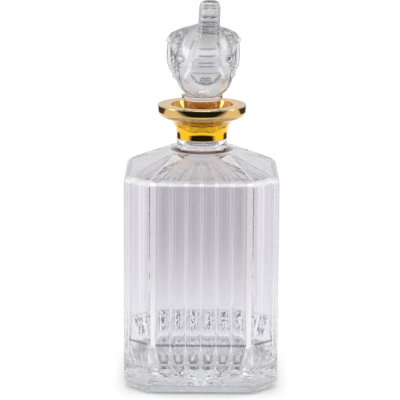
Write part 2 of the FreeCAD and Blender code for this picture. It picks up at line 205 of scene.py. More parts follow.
def seen_rays(bench):
    """Rays that come from the eye directly, by a mirror only, or through glass. A ray through clear
    glass counts as glossy too, so it is taken off the mirror's share."""
    path = bench.add("ShaderNodeLightPath").outputs
    glass = path["Is Transmission Ray"]
    mirror = bench.math("MULTIPLY", path["Is Glossy Ray"], bench.math("SUBTRACT", 1.0, glass))
    return path["Is Camera Ray"], mirror, glass


def make_studio_room():
    """World: white to the camera, a lit room with a dark front to metal and glass, and a soft fill
    to the rest."""
    world = bpy.data.worlds.new("studio_room")
    bpy.context.scene.world = world
    world.use_nodes = True
    bench = Bench(world.node_tree)
    background = world.node_tree.nodes["Background"]
    way = bench.add("ShaderNodeTexCoord").outputs["Generated"]
    parts = bench.parts(way)
    facing_front = bench.math("DIVIDE", bench.math("MULTIPLY", parts["Y"], -1.0), bench.radius(way))
    dark_side = bench.ramp(facing_front, *DARK_FACING, kind="SMOOTHSTEP")
    dark_height = bench.ramp(parts["Z"], *DARK_RISE, kind="SMOOTHSTEP")
    overhead = bench.ramp(parts["Z"], *OVERHEAD_RISE, kind="SMOOTHSTEP")
    camera_ray, mirror_ray, glass_ray = seen_rays(bench)
    ceiling = bench.mix_colour(glass_ray, CEILING_GREY, CEILING_IN_GLASS)
    walls = bench.mix_colour(overhead, PALE_WALL, ceiling)
    walls = bench.mix_colour(bench.ramp(parts["Z"], *GROUND_RISE), walls, UNLIT_GROUND)
    front = bench.mix_colour(glass_ray, UNLIT_FRONT, DIM_FRONT)
    room = bench.mix_colour(bench.math("MULTIPLY", dark_side, dark_height), walls, front)
    shown = bench.mix_colour(bench.math("MAXIMUM", mirror_ray, glass_ray), ROOM_FILL, room)
    shown = bench.mix_colour(camera_ray, shown, WHITE)
    bench.fill(background, {"Color": shown, "Strength": 1.0})


make_studio_room()
print("world:", bpy.context.scene.world.name)

# %% [markdown]
# The table is white paper. Close to the bottle it is lit by the lamps, so it keeps the faint shadow.
# Further off it fades to plain white, for the eye, for the gilding and for the glass alike. Right under the
# bottle it is in shade, and the base shows that. In a mirror the paper dims towards its front edge and its
# far sides, where the sheet ends, which draws the dark lines on the gilding.

# %% Studio table
TABLE_BACK = 3.5
TABLE_FRONT = -0.62
TABLE_LEFT = -3.0
TABLE_RIGHT = 3.0
TABLE_DROP = 0.05 * MM
SHADOW_REACH = (45 * MM, 60 * MM)
SHADOW_SHARE = 0.85
SHADOW_FORWARD = 7 * MM
FRONT_FADE = (-0.60, -0.30)
SIDE_FADE = (0.36, 0.48)
SIDE_START = (0.25, 0.45)
SIDE_SHADE = 0.06
UNDER_REACH = (38 * MM, 54 * MM)
UNDER_SHADE = 0.62
FIBRE_SCALE = 900.0
PAPER_DEEP = (0.91, 0.91, 0.91, 1.0)
PAPER_PALE = (0.94, 0.94, 0.94, 1.0)


def make_table_paper():
    material, bench, shader = new_material("table_paper")
    place = bench.add("ShaderNodeTexCoord").outputs["Object"]
    shade = bench.mix_colour(bench.noise(place, FIBRE_SCALE, 3.0), PAPER_DEEP, PAPER_PALE)
    bench.fill(shader, {"Base Color": shade, "Roughness": 1.0, "Specular IOR Level": 0.0})
    camera_ray, mirror_ray, glass_ray = seen_rays(bench)
    shown = bench.math("MAXIMUM", mirror_ray, glass_ray)
    forward = bench.vector("ADD", place, (0.0, SHADOW_FORWARD, 0.0))
    reach = bench.asides(forward)[1]
    plain = bench.ramp(reach, *SHADOW_REACH, 1.0 - SHADOW_SHARE, 1.0, kind="SMOOTHSTEP")
    plain = bench.math("MAXIMUM", bench.math("MULTIPLY", plain, camera_ray), shown)
    spot = bench.parts(place)
    fade = bench.ramp(spot["Y"], *FRONT_FADE, kind="SMOOTHSTEP")
    side = bench.ramp(bench.math("ABSOLUTE", spot["X"]), *SIDE_FADE, kind="SMOOTHSTEP")
    side = bench.product(side, bench.ramp(spot["Y"], *SIDE_START, kind="SMOOTHSTEP"), mirror_ray)
    under = bench.ramp(bench.asides(place)[1], *UNDER_REACH, UNDER_SHADE, 1.0, kind="SMOOTHSTEP")
    glow = bench.product(fade, bench.ramp(side, 0.0, 1.0, 1.0, SIDE_SHADE), under)
    glow = bench.math("MAXIMUM", glow, bench.math("SUBTRACT", 1.0, shown))
    glow = bench.add("ShaderNodeEmission", {"Color": WHITE, "Strength": glow})
    sheet = bench.add("ShaderNodeMixShader", {0: plain, 1: shader.outputs[0], 2: glow.outputs[0]})
    bench.fill(bench.tree.nodes["Material Output"], {"Surface": sheet.outputs[0]})
    return material


def make_table():
    corners = [
        (TABLE_LEFT, TABLE_FRONT, -TABLE_DROP),
        (TABLE_RIGHT, TABLE_FRONT, -TABLE_DROP),
        (TABLE_RIGHT, TABLE_BACK, -TABLE_DROP),
        (TABLE_LEFT, TABLE_BACK, -TABLE_DROP),
    ]
    mesh = bpy.data.meshes.new("studio_table")
    mesh.from_pydata(corners, [], [(0, 1, 2, 3)])
    table = bpy.data.objects.new("studio_table", mesh)
    bpy.context.scene.collection.objects.link(table)
    mesh.materials.append(make_table_paper())


make_table()
print("table edge in front at", TABLE_FRONT, "m")

# %% [markdown]
# A soft box hangs over the bottle, and two more hang high behind it. Between them they light every bevel
# of the shoulder that faces the eye. Two tall ones at the sides draw bright lines on the corners. They are
# soft and weak, and the room's own light does most of the work. Only the tall ones are seen through the
# glass.

# %% Studio lamps
SOFT_BOXES = [
    # name, place in metres, width and height in metres, power in watts, seen through glass
    ("soft_box_over", (0.0, -0.12, 1.25), (0.5, 0.4), 4.5, False),
    ("soft_box_back_left", (-0.80, 0.43, 1.0), (0.4, 0.4), 1.3, False),
    ("soft_box_back_right", (0.80, 0.43, 1.0), (0.4, 0.4), 1.3, False),
    ("soft_box_left", (-1.1, -0.1, 0.55), (0.35, 0.9), 3.2, True),
    ("soft_box_right", (1.1, -0.1, 0.55), (0.35, 0.9), 2.6, True),
]
LAMP_AIM = Vector((0.0, 0.0, 0.12))
GLASS_BOUNCES = 28
MIRROR_BOUNCES = 16


def make_soft_box(name, place, spread, watts, through_glass):
    data = bpy.data.lights.new(name, "AREA")
    data.shape = "RECTANGLE"
    data.size, data.size_y = spread
    data.energy = watts
    lamp = bpy.data.objects.new(name, data)
    bpy.context.scene.collection.objects.link(lamp)
    lamp.location = place
    lamp.visible_transmission = through_glass
    aim = LAMP_AIM - lamp.location
    lamp.rotation_euler = aim.to_track_quat("-Z", "Y").to_euler()


for soft_box in SOFT_BOXES:
    make_soft_box(*soft_box)
bpy.context.scene.view_settings.view_transform = "Standard"
bpy.context.scene.cycles.max_bounces = GLASS_BOUNCES
bpy.context.scene.cycles.transmission_bounces = GLASS_BOUNCES
bpy.context.scene.cycles.glossy_bounces = MIRROR_BOUNCES
print("lamps:", len(SOFT_BOXES))

# %% [markdown]
# ## Finishes
# Crystal is glass with a little more bend than window glass. Each wall dims what is behind it, and a heavy
# wall reads as a pale grey. Where the modelling leaves a mark on the mesh, the tint follows it: the flutes'
# ridges are painted as the clearest lines of the wall, a painted highlight. Fire polishing leaves the surface
# very slightly wavy, so a weak bump and a trace of roughness come from noise.

# %% Crystal
CRYSTAL_BEND = 1.54
HAZE_SCALE = 220.0
HAZE_LEVELS = (0.45, 0.75)
HAZE = 0.012
RIDGE_MARK = "ridge"
SWELL_MARK = "swell"
INNER_MARK = "inner"
CREASE_MARK = "fold"


def start_crystal(name):
    """A clear glass material, with its object coordinates and a slight haze."""
    material, bench, shader = new_material(name)
    place = bench.add("ShaderNodeTexCoord").outputs["Object"]
    haze = bench.ramp(bench.noise(place, HAZE_SCALE, 4.0), *HAZE_LEVELS, 0.0, HAZE)
    bench.fill(shader, {"Roughness": haze, "IOR": CRYSTAL_BEND, "Transmission Weight": 1.0})
    return material, bench, shader, place


def add_waves(bench, shader, place, wave_size, wave_depth, extra_height=None):
    """Fire-polished waves, in metres. Extra height is added to the same bump, in metres too."""
    height = bench.math("MULTIPLY", bench.noise(place, 1 / wave_size, 1.0), wave_depth)
    if extra_height is not None:
        height = bench.math("ADD", height, extra_height)
    bump = bench.add("ShaderNodeBump", {"Height": height, "Strength": 1.0, "Distance": 1.0})
    bench.fill(shader, {"Normal": bump.outputs[0]})


def mark_value(bench, name):
    return bench.add("ShaderNodeAttribute", attribute_name=name).outputs["Fac"]


print("crystal bends light by", CRYSTAL_BEND)

# %% [markdown]
# The bottle's tint steps with height, and the steps are painted shade: the heavy base is painted a shade
# greyer than the lower walls, and so is the shoulder. The corners gather light and are painted paler, as
# painted light. The bevels at the foot and the shoulder were ground and only half polished: the upper one is
# frosted, and its brightness, like that of the hips where the shoulder's facets meet, is partly a painted
# highlight, while the lower one is painted greyer, as painted shade, and is uneven. Round the neck's foot the
# gilding above throws a warm shade, painted as a dark amber band.

# %% Bottle tint
# Painted shade: the foot bevel is painted greyer.
FOOT_BEVEL_PAINTED_SHADE = (0.42, 0.425, 0.46, 1.0)
# Painted highlight, partly real frosting: the shoulder's bevel and hips are kept clear.
SHOULDER_BEVEL_HIGHLIGHT_TINT = (0.97, 0.965, 0.98, 1.0)
# Painted light: the underside is painted nearly clear.
UNDERSIDE_TINT_AND_LIGHT = (0.97, 0.97, 0.98, 1.0)
# Glass tints whose steps with height are painted shade: greyer at the base and towards the shoulder.
BASE_TINT_AND_SHADE = (0.80, 0.805, 0.835, 1.0)
LOW_TINT_AND_SHADE = (0.886, 0.881, 0.911, 1.0)
HIGH_TINT_AND_SHADE = (0.715, 0.70, 0.735, 1.0)
ROOF_TINT_AND_SHADE = (0.85, 0.845, 0.87, 1.0)
# Painted highlight: the ridges, the cavity floor, part of the roof and the neck are painted clearer.
RIDGE_HIGHLIGHT_TINT = (0.98, 0.98, 0.99, 1.0)
# Painted light: the corners are painted paler, as they gather light.
CORNER_TINT_AND_LIGHT = (0.89, 0.885, 0.91, 1.0)
CORNER_REACH = (32 * MM, 38 * MM)
# Painted shade: the gilding's warm shade is painted as a dark amber band round the neck's foot.
NECK_WARM_SHADE = (0.10, 0.05, 0.03, 1.0)
NECK_FOOT_RING = (18.7 * MM, 1.4 * MM, 0.6 * MM)
NECK_FOOT_HEIGHT = (153.5 * MM, 1.1 * MM, 0.5 * MM)
WALL_SHADE_FADE = (42 * MM, 82 * MM)
ROOF_START = (137 * MM, 141 * MM)
BASE_TOP = (12 * MM, 20 * MM)
FOOT_TOP = (6.0 * MM, 5.6 * MM)
UNDERSIDE_TOP = (1.8 * MM, 1.6 * MM)
FOOT_BEVEL = (3.8 * MM, 1.8 * MM, 0.2 * MM)
UNDERSIDE_REACH = (44.2 * MM, 43.6 * MM)
SHOULDER_BEVEL = (138.8 * MM, 1.6 * MM, 0.3 * MM)
FOOT_FROST = 0.08
SHOULDER_FROST = 0.3
# Shares of diffuse white on the shoulder's bevel and hips: partly ground frosting, partly painted highlight.
BEVEL_WHITE_HIGHLIGHT = 0.16
HIP_WHITE_HIGHLIGHT = 0.3
HIP_HEIGHTS = (140.3 * MM, 152.5 * MM)
HIP_PLACES = (32.9 * MM, 16.9 * MM)
HIP_WIDTH = (0.45 * MM, 0.35 * MM)
HIP_FADE = 0.3 * MM


def outside(bench, value):
    """The value on the bottle's outside, and 0 in the cavity."""
    return bench.math("MULTIPLY", value, bench.math("SUBTRACT", 1.0, mark_value(bench, INNER_MARK)))


def ground_hips(bench, place, height):
    """1 along the hips of the shoulder's roof, where two facets meet."""
    hip_place = bench.ramp(height, *HIP_HEIGHTS, *HIP_PLACES)
    from_hip = bench.math("SUBTRACT", bench.asides(place)[0], hip_place)
    on_roof = bench.ramp(height, HIP_HEIGHTS[0] - HIP_FADE, HIP_HEIGHTS[0])
    return outside(bench, bench.product(bench.band(from_hip, 0.0, *HIP_WIDTH), on_roof))


def ground_bevel(bench, height):
    return outside(bench, bench.band(height, *SHOULDER_BEVEL))


def shoulder_grinding_and_highlight(bench, place, height, bevel_share, hip_share):
    """The given shares on the shoulder's bevel and on its hips, and 0 elsewhere."""
    bevel = bench.math("MULTIPLY", ground_bevel(bench, height), bevel_share)
    hip = bench.math("MULTIPLY", ground_hips(bench, place, height), hip_share)
    return bench.math("MAXIMUM", bevel, hip)


def wall_tint_and_painted_light(bench, place, height):
    across, reach = bench.asides(place)
    # The steps with height are painted shade; the corners, bevels, ridges and neck's foot add painted light
    # and shade.
    tint = bench.mix_colour(bench.ramp(height, *WALL_SHADE_FADE, kind="SMOOTHSTEP"), LOW_TINT_AND_SHADE, HIGH_TINT_AND_SHADE)
    tint = bench.mix_colour(bench.ramp(height, *ROOF_START), tint, ROOF_TINT_AND_SHADE)
    # Painted light: the corners are painted paler.
    tint = bench.mix_colour(bench.ramp(across, *CORNER_REACH, kind="SMOOTHSTEP"), tint, CORNER_TINT_AND_LIGHT)
    tint = bench.mix_colour(bench.ramp(height, *BASE_TOP, kind="SMOOTHSTEP"), BASE_TINT_AND_SHADE, tint)
    # Painted shade: everything below the foot bevel's top is painted greyer.
    tint = bench.mix_colour(bench.ramp(height, *FOOT_TOP), tint, FOOT_BEVEL_PAINTED_SHADE)
    # Painted light: the underside is painted nearly clear.
    underside = bench.product(bench.ramp(height, *UNDERSIDE_TOP), bench.ramp(reach, *UNDERSIDE_REACH))
    tint = bench.mix_colour(underside, tint, UNDERSIDE_TINT_AND_LIGHT)
    # Painted highlight, partly real frosting: the shoulder's bevel and hips are kept clear.
    tint = bench.mix_colour(shoulder_grinding_and_highlight(bench, place, height, 1.0, 1.0), tint, SHOULDER_BEVEL_HIGHLIGHT_TINT)
    # Painted highlight: the ridge mark paints the ridges, the floor, part of the roof and the neck clearer.
    tint = bench.mix_colour(mark_value(bench, RIDGE_MARK), tint, RIDGE_HIGHLIGHT_TINT)
    # Painted shade: a dark amber band round the neck's foot.
    round_neck = bench.band(bench.radius(place), *NECK_FOOT_RING)
    neck_foot = bench.product(round_neck, bench.band(height, *NECK_FOOT_HEIGHT))
    return bench.mix_colour(neck_foot, tint, NECK_WARM_SHADE)


def frosted_bevels(bench, place, height, haze):
    foot = bench.math("MULTIPLY", bench.band(height, *FOOT_BEVEL), FOOT_FROST)
    shoulder = shoulder_grinding_and_highlight(bench, place, height, SHOULDER_FROST, SHOULDER_FROST)
    return bench.math("MAXIMUM", haze, bench.math("MAXIMUM", foot, shoulder))


bevel_middles = [round(bevel[0] / MM, 1) for bevel in (FOOT_BEVEL, SHOULDER_BEVEL)]
print("middles of the ground bevels in mm:", bevel_middles)

# %% [markdown]
# Each flute ends above the floor where the cutting wheel left the glass. Its ends carry painted reflections:
# seen from the front, the near ends on the flat faces show painted dark arches with grey bars over them, and
# one painted dark line runs along the wall. The underside's rim shows a painted dark spot for every second
# flute, and the far ends show chips, painted dark in part and bright where their bump catches the light.
# A point finds its place across its flute from a mark on the mesh, and its height does the rest.

# %% Bottle flute ends
FLUTE_PITCH = 9.8 * MM
FACE_END = (30.2 * MM, 29.2 * MM)
NEAR_SIDE = (12 * MM, -12 * MM)
FAR_ARCHES = 0.25
NEAR_CHIPS = 0.1
RIPPLE_SCALE = 330.0
RIPPLE_SWIRL = 1.2
FOOT_RIPPLE = 0.4 * MM
# Painted reflection: the dark colour of the arches, blots and underside spots.
DARK_PAINTED_REFLECTION = (0.09, 0.09, 0.10, 1.0)
ARCH_FOOT = 16.6 * MM
ARCH_START = (-0.6 * MM, 0.2 * MM)
ARCH_RADIUS = 3.6 * MM
ARCH_WIDTH = (0.5 * MM, 0.4 * MM)
BLOT_EDGE = 0.8 * MM
BLOT_LEVELS = (0.54, 0.60)
UNDERSIDE_RIM = (40.5 * MM, 3.4 * MM, 1.0 * MM)
SPOT_WIDTH = (2.3 * MM, 0.7 * MM)
SPECKLE_LEVELS = (0.46, 0.53)
SPECKLE = 0.85
# Painted reflection: grey bars over the near flute ends.
BAR_PAINTED_REFLECTION = (0.33, 0.33, 0.37, 1.0)
BAR_PLACE = (2.4 * MM, 0.9 * MM, 0.4 * MM)
BAR_HEIGHT = (23 * MM, 2.2 * MM, 0.8 * MM)
# Painted reflection: one dark line along the wall.
LINE_PAINTED_REFLECTION = (0.12, 0.12, 0.15, 1.0)
LINE_HEIGHT = (31.8 * MM, 0.55 * MM, 0.5 * MM)
# Painted reflection: dark chips at the far flute ends.
CHIP_PAINTED_REFLECTION = (0.06, 0.06, 0.07, 1.0)
CHIP_SCALE = 760.0
CHIP_LEVELS = (0.47, 0.55)
CHIP_DEPTH = 0.5 * MM
CHIP_PLACE = (0.35, 0.6)
CHIP_HEIGHT = (24.8 * MM, 5.6 * MM, 2.4 * MM)


def flute_arches(bench, from_middle, height, ripple, share):
    """Painted dark arches over the feet of the flutes, with painted dark blots inside them: painted
    reflections.
    """
    rise = bench.math("SUBTRACT", height, ARCH_FOOT)
    reach = bench.length(bench.add("ShaderNodeCombineXYZ", {"X": from_middle, "Z": rise}).outputs[0])
    arch = bench.band(reach, ARCH_RADIUS, *ARCH_WIDTH)
    inside = bench.ramp(reach, ARCH_RADIUS, ARCH_RADIUS - BLOT_EDGE)
    blot = bench.product(bench.ramp(ripple, *BLOT_LEVELS), inside)
    return bench.product(bench.math("MAXIMUM", arch, blot), bench.ramp(rise, *ARCH_START), share)


def underside_spots(bench, place, height, ripple):
    """Painted dark spots round the underside's rim, one for every second flute, with painted speckle between
    them.
    """
    across, reach = bench.asides(place)
    pair = bench.math("MODULO", across, 2 * FLUTE_PITCH)
    round_spot = bench.band(pair, FLUTE_PITCH / 2, *SPOT_WIDTH)
    speckle = bench.ramp(ripple, *SPECKLE_LEVELS, 0.0, SPECKLE)
    rim = bench.product(bench.band(reach, *UNDERSIDE_RIM), bench.ramp(height, *UNDERSIDE_TOP))
    return bench.product(rim, bench.math("MAXIMUM", round_spot, speckle))


def flute_ends(bench, place, tint):
    """The tint with the flute ends' painted reflections, and the height of their ripples."""
    spot = bench.parts(place)
    height = spot["Z"]
    on_face = bench.ramp(bench.asides(place)[0], *FACE_END)
    near = bench.ramp(spot["Y"], *NEAR_SIDE)
    near_share = bench.ramp(near, 0.0, 1.0, FAR_ARCHES, 1.0)
    far_share = bench.ramp(near, 0.0, 1.0, 1.0, NEAR_CHIPS)
    swell = mark_value(bench, SWELL_MARK)
    from_middle = bench.math("MULTIPLY", bench.math("ARCCOSINE", swell), FLUTE_PITCH / math.pi)
    ripple = bench.noise(place, RIPPLE_SCALE, 1.0, RIPPLE_SWIRL)
    chips = bench.add("ShaderNodeTexVoronoi", {"Vector": place, "Scale": CHIP_SCALE}).outputs
    chipped = bench.product(bench.ramp(swell, *CHIP_PLACE), bench.band(height, *CHIP_HEIGHT), far_share)
    dark_chip = bench.product(bench.ramp(chips["Color"], *CHIP_LEVELS), chipped)
    bar = bench.product(bench.band(from_middle, *BAR_PLACE), bench.band(height, *BAR_HEIGHT), near, on_face)
    line = bench.product(bench.band(height, *LINE_HEIGHT), mark_value(bench, INNER_MARK), near_share)
    arch = flute_arches(bench, from_middle, height, ripple, bench.product(near_share, on_face))
    dark = bench.math("MAXIMUM", arch, underside_spots(bench, place, height, ripple))
    # Painted reflections: bars, the line, chips, arches, blots and spots are mixed into the tint.
    for share, colour in ((bar, BAR_PAINTED_REFLECTION), (line, LINE_PAINTED_REFLECTION), (dark_chip, CHIP_PAINTED_REFLECTION), (dark, DARK_PAINTED_REFLECTION)):
        tint = bench.mix_colour(share, tint, colour)
    foot_ripple = bench.product(ripple, bench.band(height, *FOOT_BEVEL), FOOT_RIPPLE)
    return tint, bench.math("ADD", bench.product(chips["Distance"], chipped, CHIP_DEPTH), foot_ripple)


print("flute pitch in mm:", round(FLUTE_PITCH / MM, 1))

# %% [markdown]
# One material covers the bottle inside and out, because it is one piece of glass. It could be several
# materials on several faces, but each edge between them would show. The tint with its painted light and
# shade, the frost, the ripples and a trace of white on the ground edges, partly a painted highlight, are
# found at every point instead, and fade into each other.

# %% Bottle crystal
BOTTLE_WAVES = (9 * MM, 0.005 * MM)


def make_bottle_crystal():
    material, bench, shader, place = start_crystal("bottle_crystal")
    height = bench.parts(place)["Z"]
    tint, ripples = flute_ends(bench, place, wall_tint_and_painted_light(bench, place, height))
    haze = shader.inputs["Roughness"].links[0].from_socket
    frost = frosted_bevels(bench, place, height, haze)
    # A trace of white on the shoulder's bevel and hips: partly ground frosting, partly painted highlight.
    white = shoulder_grinding_and_highlight(bench, place, height, BEVEL_WHITE_HIGHLIGHT, HIP_WHITE_HIGHLIGHT)
    clear = bench.math("SUBTRACT", 1.0, white)
    bench.fill(shader, {"Base Color": tint, "Roughness": frost, "Transmission Weight": clear})
    add_waves(bench, shader, place, *BOTTLE_WAVES, ripples)
    return material


bottle_crystal = make_bottle_crystal()
print("bottle crystal ready")

# %% [markdown]
# The head is a solid lump, so its glass is tinted more than the thin stem below it. Its tint also steps with
# height as painted shade, darkest in the dome. Its chin hangs free over the bright collar and is painted
# nearly clear, as painted light, and the thin ears and the trunk's tip are paler than the dome. The back of
# the head was left satin by its mould, which softens what is seen through it. The deepest creases hold hardly
# any light, and their tint follows a mark that the modelling step leaves on the mesh.

# %% Stopper crystal
STEM_TINT = (0.98, 0.975, 0.985, 1.0)
# Painted light: the chin is painted nearly clear.
CHIN_TINT_AND_LIGHT = (0.98, 0.975, 0.985, 1.0)
FACE_TINT = (0.75, 0.74, 0.77, 1.0)
# Painted shade: the dome is painted darkest.
DOME_TINT_AND_SHADE = (0.53, 0.525, 0.545, 1.0)
TIP_TINT = (0.61, 0.605, 0.625, 1.0)
EAR_TINT = (0.86, 0.85, 0.88, 1.0)
CREASE_TINT = (0.10, 0.10, 0.11, 1.0)
CHIN_HEIGHTS = (196 * MM, 203 * MM)
DOME_HEIGHTS = (218 * MM, 226 * MM)
TIP_HEIGHTS = (233 * MM, 238 * MM)
EAR_ASIDE = (16.5 * MM, 18.5 * MM)
SATIN_DEPTH = (-1 * MM, 6 * MM)
SATIN = 0.16
STEM_WAVES = (7 * MM, 0.015 * MM)
HEAD_WAVES = (4 * MM, 0.02 * MM)


def make_stopper_crystal():
    material, bench, shader, place = start_crystal("stopper_crystal")
    bench.fill(shader, {"Base Color": STEM_TINT})
    add_waves(bench, shader, place, *STEM_WAVES)
    return material


def make_figure_crystal():
    material, bench, shader, place = start_crystal("figure_crystal")
    parts = bench.parts(place)
    height = parts["Z"]
    aside = bench.math("ABSOLUTE", parts["X"])
    # The tint steps with height: a clear chin as painted light, the darkest dome as painted shade.
    tint = CHIN_TINT_AND_LIGHT
    for value, limits, next_tint in (
        (height, CHIN_HEIGHTS, FACE_TINT),
        (height, DOME_HEIGHTS, DOME_TINT_AND_SHADE),
        (height, TIP_HEIGHTS, TIP_TINT),
        (aside, EAR_ASIDE, EAR_TINT),
    ):
        tint = bench.mix_colour(bench.ramp(value, *limits, kind="SMOOTHSTEP"), tint, next_tint)
    tint = bench.mix_colour(mark_value(bench, CREASE_MARK), tint, CREASE_TINT)
    haze = shader.inputs["Roughness"].links[0].from_socket
    satin = bench.ramp(parts["Y"], *SATIN_DEPTH, 0.0, SATIN, kind="SMOOTHSTEP")
    bench.fill(shader, {"Base Color": tint, "Roughness": bench.math("MAXIMUM", haze, satin)})
    add_waves(bench, shader, place, *HEAD_WAVES)
    return material


stopper_crystal = make_stopper_crystal()
figure_crystal = make_figure_crystal()
print("stopper crystal ready")

# %% [markdown]
# The collar is brass, polished to a mirror and gilded. Polishing on a wheel leaves hair-fine lines round the
# axis, so the bump is a noise that is stretched round the neck and tight along it. The gold turns a deep
# amber in the hollow of the flare, and is painted darker in the funnel, as painted shade of that recess.

# %% Gilding
PALE_GOLD = (0.74, 0.49, 0.18, 1.0)
AMBER_GOLD = (1.0, 0.56, 0.02, 1.0)
# Painted shade: the funnel's gold is painted darker.
FUNNEL_GOLD_SHADE = (0.72, 0.36, 0.09, 1.0)
AMBER_RADII = (25.5 * MM, 20.5 * MM)
FUNNEL_HEIGHTS = (171.0 * MM, 172.0 * MM)
FUNNEL_RADII = (21.5 * MM, 20.3 * MM)
WHEEL_LINES = (40.0, 40.0, 2600.0)
WHEEL_BUMP = {"Strength": 0.25, "Distance": 0.01 * MM}
TOUCH_SCALE = 130.0
TOUCH_LEVELS = (0.35, 0.75)
GILT_ROUGHNESS = (0.03, 0.085)
AMBER_LEVELS = (0.2, 0.6)
AMBER_SHARE = (0.85, 1.0)


def make_gilding():
    material, bench, shader = new_material("gilt_collar")
    place = bench.add("ShaderNodeTexCoord").outputs["Object"]
    wheel = bench.add("ShaderNodeMapping", {"Vector": place, "Scale": WHEEL_LINES}).outputs[0]
    bump = bench.add("ShaderNodeBump", {"Height": bench.noise(wheel, 1.0, 3.0), **WHEEL_BUMP}).outputs[0]
    touch = bench.noise(place, TOUCH_SCALE, 4.0)
    roughness = bench.ramp(touch, *TOUCH_LEVELS, *GILT_ROUGHNESS)
    height = bench.parts(place)["Z"]
    radius = bench.radius(place)
    # A deeper amber in the flare's hollow; the funnel is painted darker, as painted shade.
    deep_amber = bench.ramp(radius, *AMBER_RADII, kind="SMOOTHSTEP")
    deep_amber = bench.math("MULTIPLY", deep_amber, bench.ramp(touch, *AMBER_LEVELS, *AMBER_SHARE))
    funnel = bench.product(bench.ramp(height, *FUNNEL_HEIGHTS), bench.ramp(radius, *FUNNEL_RADII))
    colour = bench.mix_colour(deep_amber, PALE_GOLD, bench.mix_colour(funnel, AMBER_GOLD, FUNNEL_GOLD_SHADE))
    bench.fill(shader, {"Base Color": colour, "Roughness": roughness, "Metallic": 1.0, "Normal": bump})
    return material


gilding = make_gilding()
print("gilding ready")

# %% [markdown]
# The hidden joints have finishes too: amber epoxy under the collar, soft clear rubber for the seal rings,
# and a clear adhesive between the head and its stem.

# %% Joint finishes
EPOXY_DEEP = (0.62, 0.36, 0.09, 1.0)
EPOXY_PALE = (0.80, 0.52, 0.17, 1.0)
EPOXY_SCALE = 160.0
EPOXY_ROUGHNESS = (0.2, 0.35)
SOFT_SCALE = 300.0
CLOUD_LEVELS = (0.3, 0.7)


def make_epoxy():
    material, bench, shader = new_material("amber_epoxy")
    place = bench.add("ShaderNodeTexCoord").outputs["Object"]
    cloud = bench.noise(place, EPOXY_SCALE, 3.0)
    roughness = bench.ramp(cloud, *CLOUD_LEVELS, *EPOXY_ROUGHNESS)
    colour = bench.mix_colour(cloud, EPOXY_DEEP, EPOXY_PALE)
    bench.fill(shader, {"Base Color": colour, "Roughness": roughness})
    return material


def make_clear_soft(name, tint, bend, roughness):
    """Clear rubber or adhesive: a soft-edged glass with an uneven surface."""
    material, bench, shader = new_material(name)
    place = bench.add("ShaderNodeTexCoord").outputs["Object"]
    cloud = bench.noise(place, SOFT_SCALE, 3.0)
    haze = bench.ramp(cloud, *CLOUD_LEVELS, *roughness)
    bench.fill(shader, {"Base Color": (*tint, 1.0), "Roughness": haze})
    bench.fill(shader, {"IOR": bend, "Transmission Weight": 1.0})
    return material


amber_epoxy = make_epoxy()
clear_rubber = make_clear_soft("clear_rubber", (0.95, 0.95, 0.95), 1.41, (0.2, 0.35))
clear_adhesive = make_clear_soft("clear_adhesive", (0.96, 0.96, 0.96), 1.5, (0.02, 0.08))
print("joint finishes ready")

# %% [markdown]
# ## Turned pieces
# The collar, the plug, the rings and the films are all round. A lathe makes them from one outline, so the
# helpers here do the same: an outline of points and arcs is eased at its corners, because no real edge is
# perfectly sharp, and is then turned about the neck's axis. Weighted normals keep the flats flat beside those
# small rounds.

# %% Outlines
EASE_STEPS = 4
EASE_TURN = math.radians(20)
EASE_SHARE = 0.45


def arc_points(start, end, radius, side, steps=14):
    """Points of an arc from start to end, which swings out to the left (side 1) or right (side -1)."""
    start, end = np.array(start), np.array(end)
    chord = end - start
    half = np.linalg.norm(chord) / 2
    across = np.array((-chord[1], chord[0])) / (2 * half)
    centre = (start + end) / 2 - across * side * math.sqrt(radius**2 - half**2)
    first, last = (math.atan2(*(spot - centre)[::-1]) for spot in (start, end))
    turn = (last - first + math.pi) % (2 * math.pi) - math.pi
    angles = first + turn * np.linspace(0, 1, steps + 1)
    return [tuple(centre + radius * np.array((math.cos(a), math.sin(a)))) for a in angles]


def eased(points, ease, closed):
    """The same line with each sharp corner replaced by a small curve, in any number of dimensions."""
    points = [np.array(point, float) for point in points]
    count = len(points)
    smooth = []
    for index, here in enumerate(points):
        if not closed and index in (0, count - 1):
            smooth.append(here)
            continue
        before = points[index - 1] - here
        after = points[(index + 1) % count] - here
        lengths = [np.linalg.norm(before), np.linalg.norm(after)]
        cosine = np.dot(before, after) / (lengths[0] * lengths[1])
        if math.pi - math.acos(np.clip(cosine, -1, 1)) < EASE_TURN:
            smooth.append(here)
            continue
        reach = min(ease, EASE_SHARE * min(lengths))
        first = here + before / lengths[0] * reach
        last = here + after / lengths[1] * reach
        for share in np.linspace(0, 1, EASE_STEPS + 1):
            smooth.append(first * (1 - share) ** 2 + here * 2 * share * (1 - share) + last * share**2)
    return smooth


print("points of a quarter arc:", len(arc_points((1.0, 0.0), (0.0, 1.0), 1.0, -1)))

# %% [markdown]
# The lathe sets a ring of points for each point of the outline and joins the rings by quads. Blender's Screw
# modifier could turn the outline too, but it leaves a seam, and doubled points on the axis. Here the last
# column is joined to the first, and a single point closes each end with a fan.

# %% Lathe
ON_AXIS = 1e-6


def skin(bm, lower, upper):
    count = len(lower)
    for index in range(count):
        after = (index + 1) % count
        bm.faces.new((lower[index], lower[after], upper[after], upper[index]))


def fan(bm, ring, pole):
    for index, vertex in enumerate(ring):
        bm.faces.new((vertex, ring[(index + 1) % len(ring)], pole))


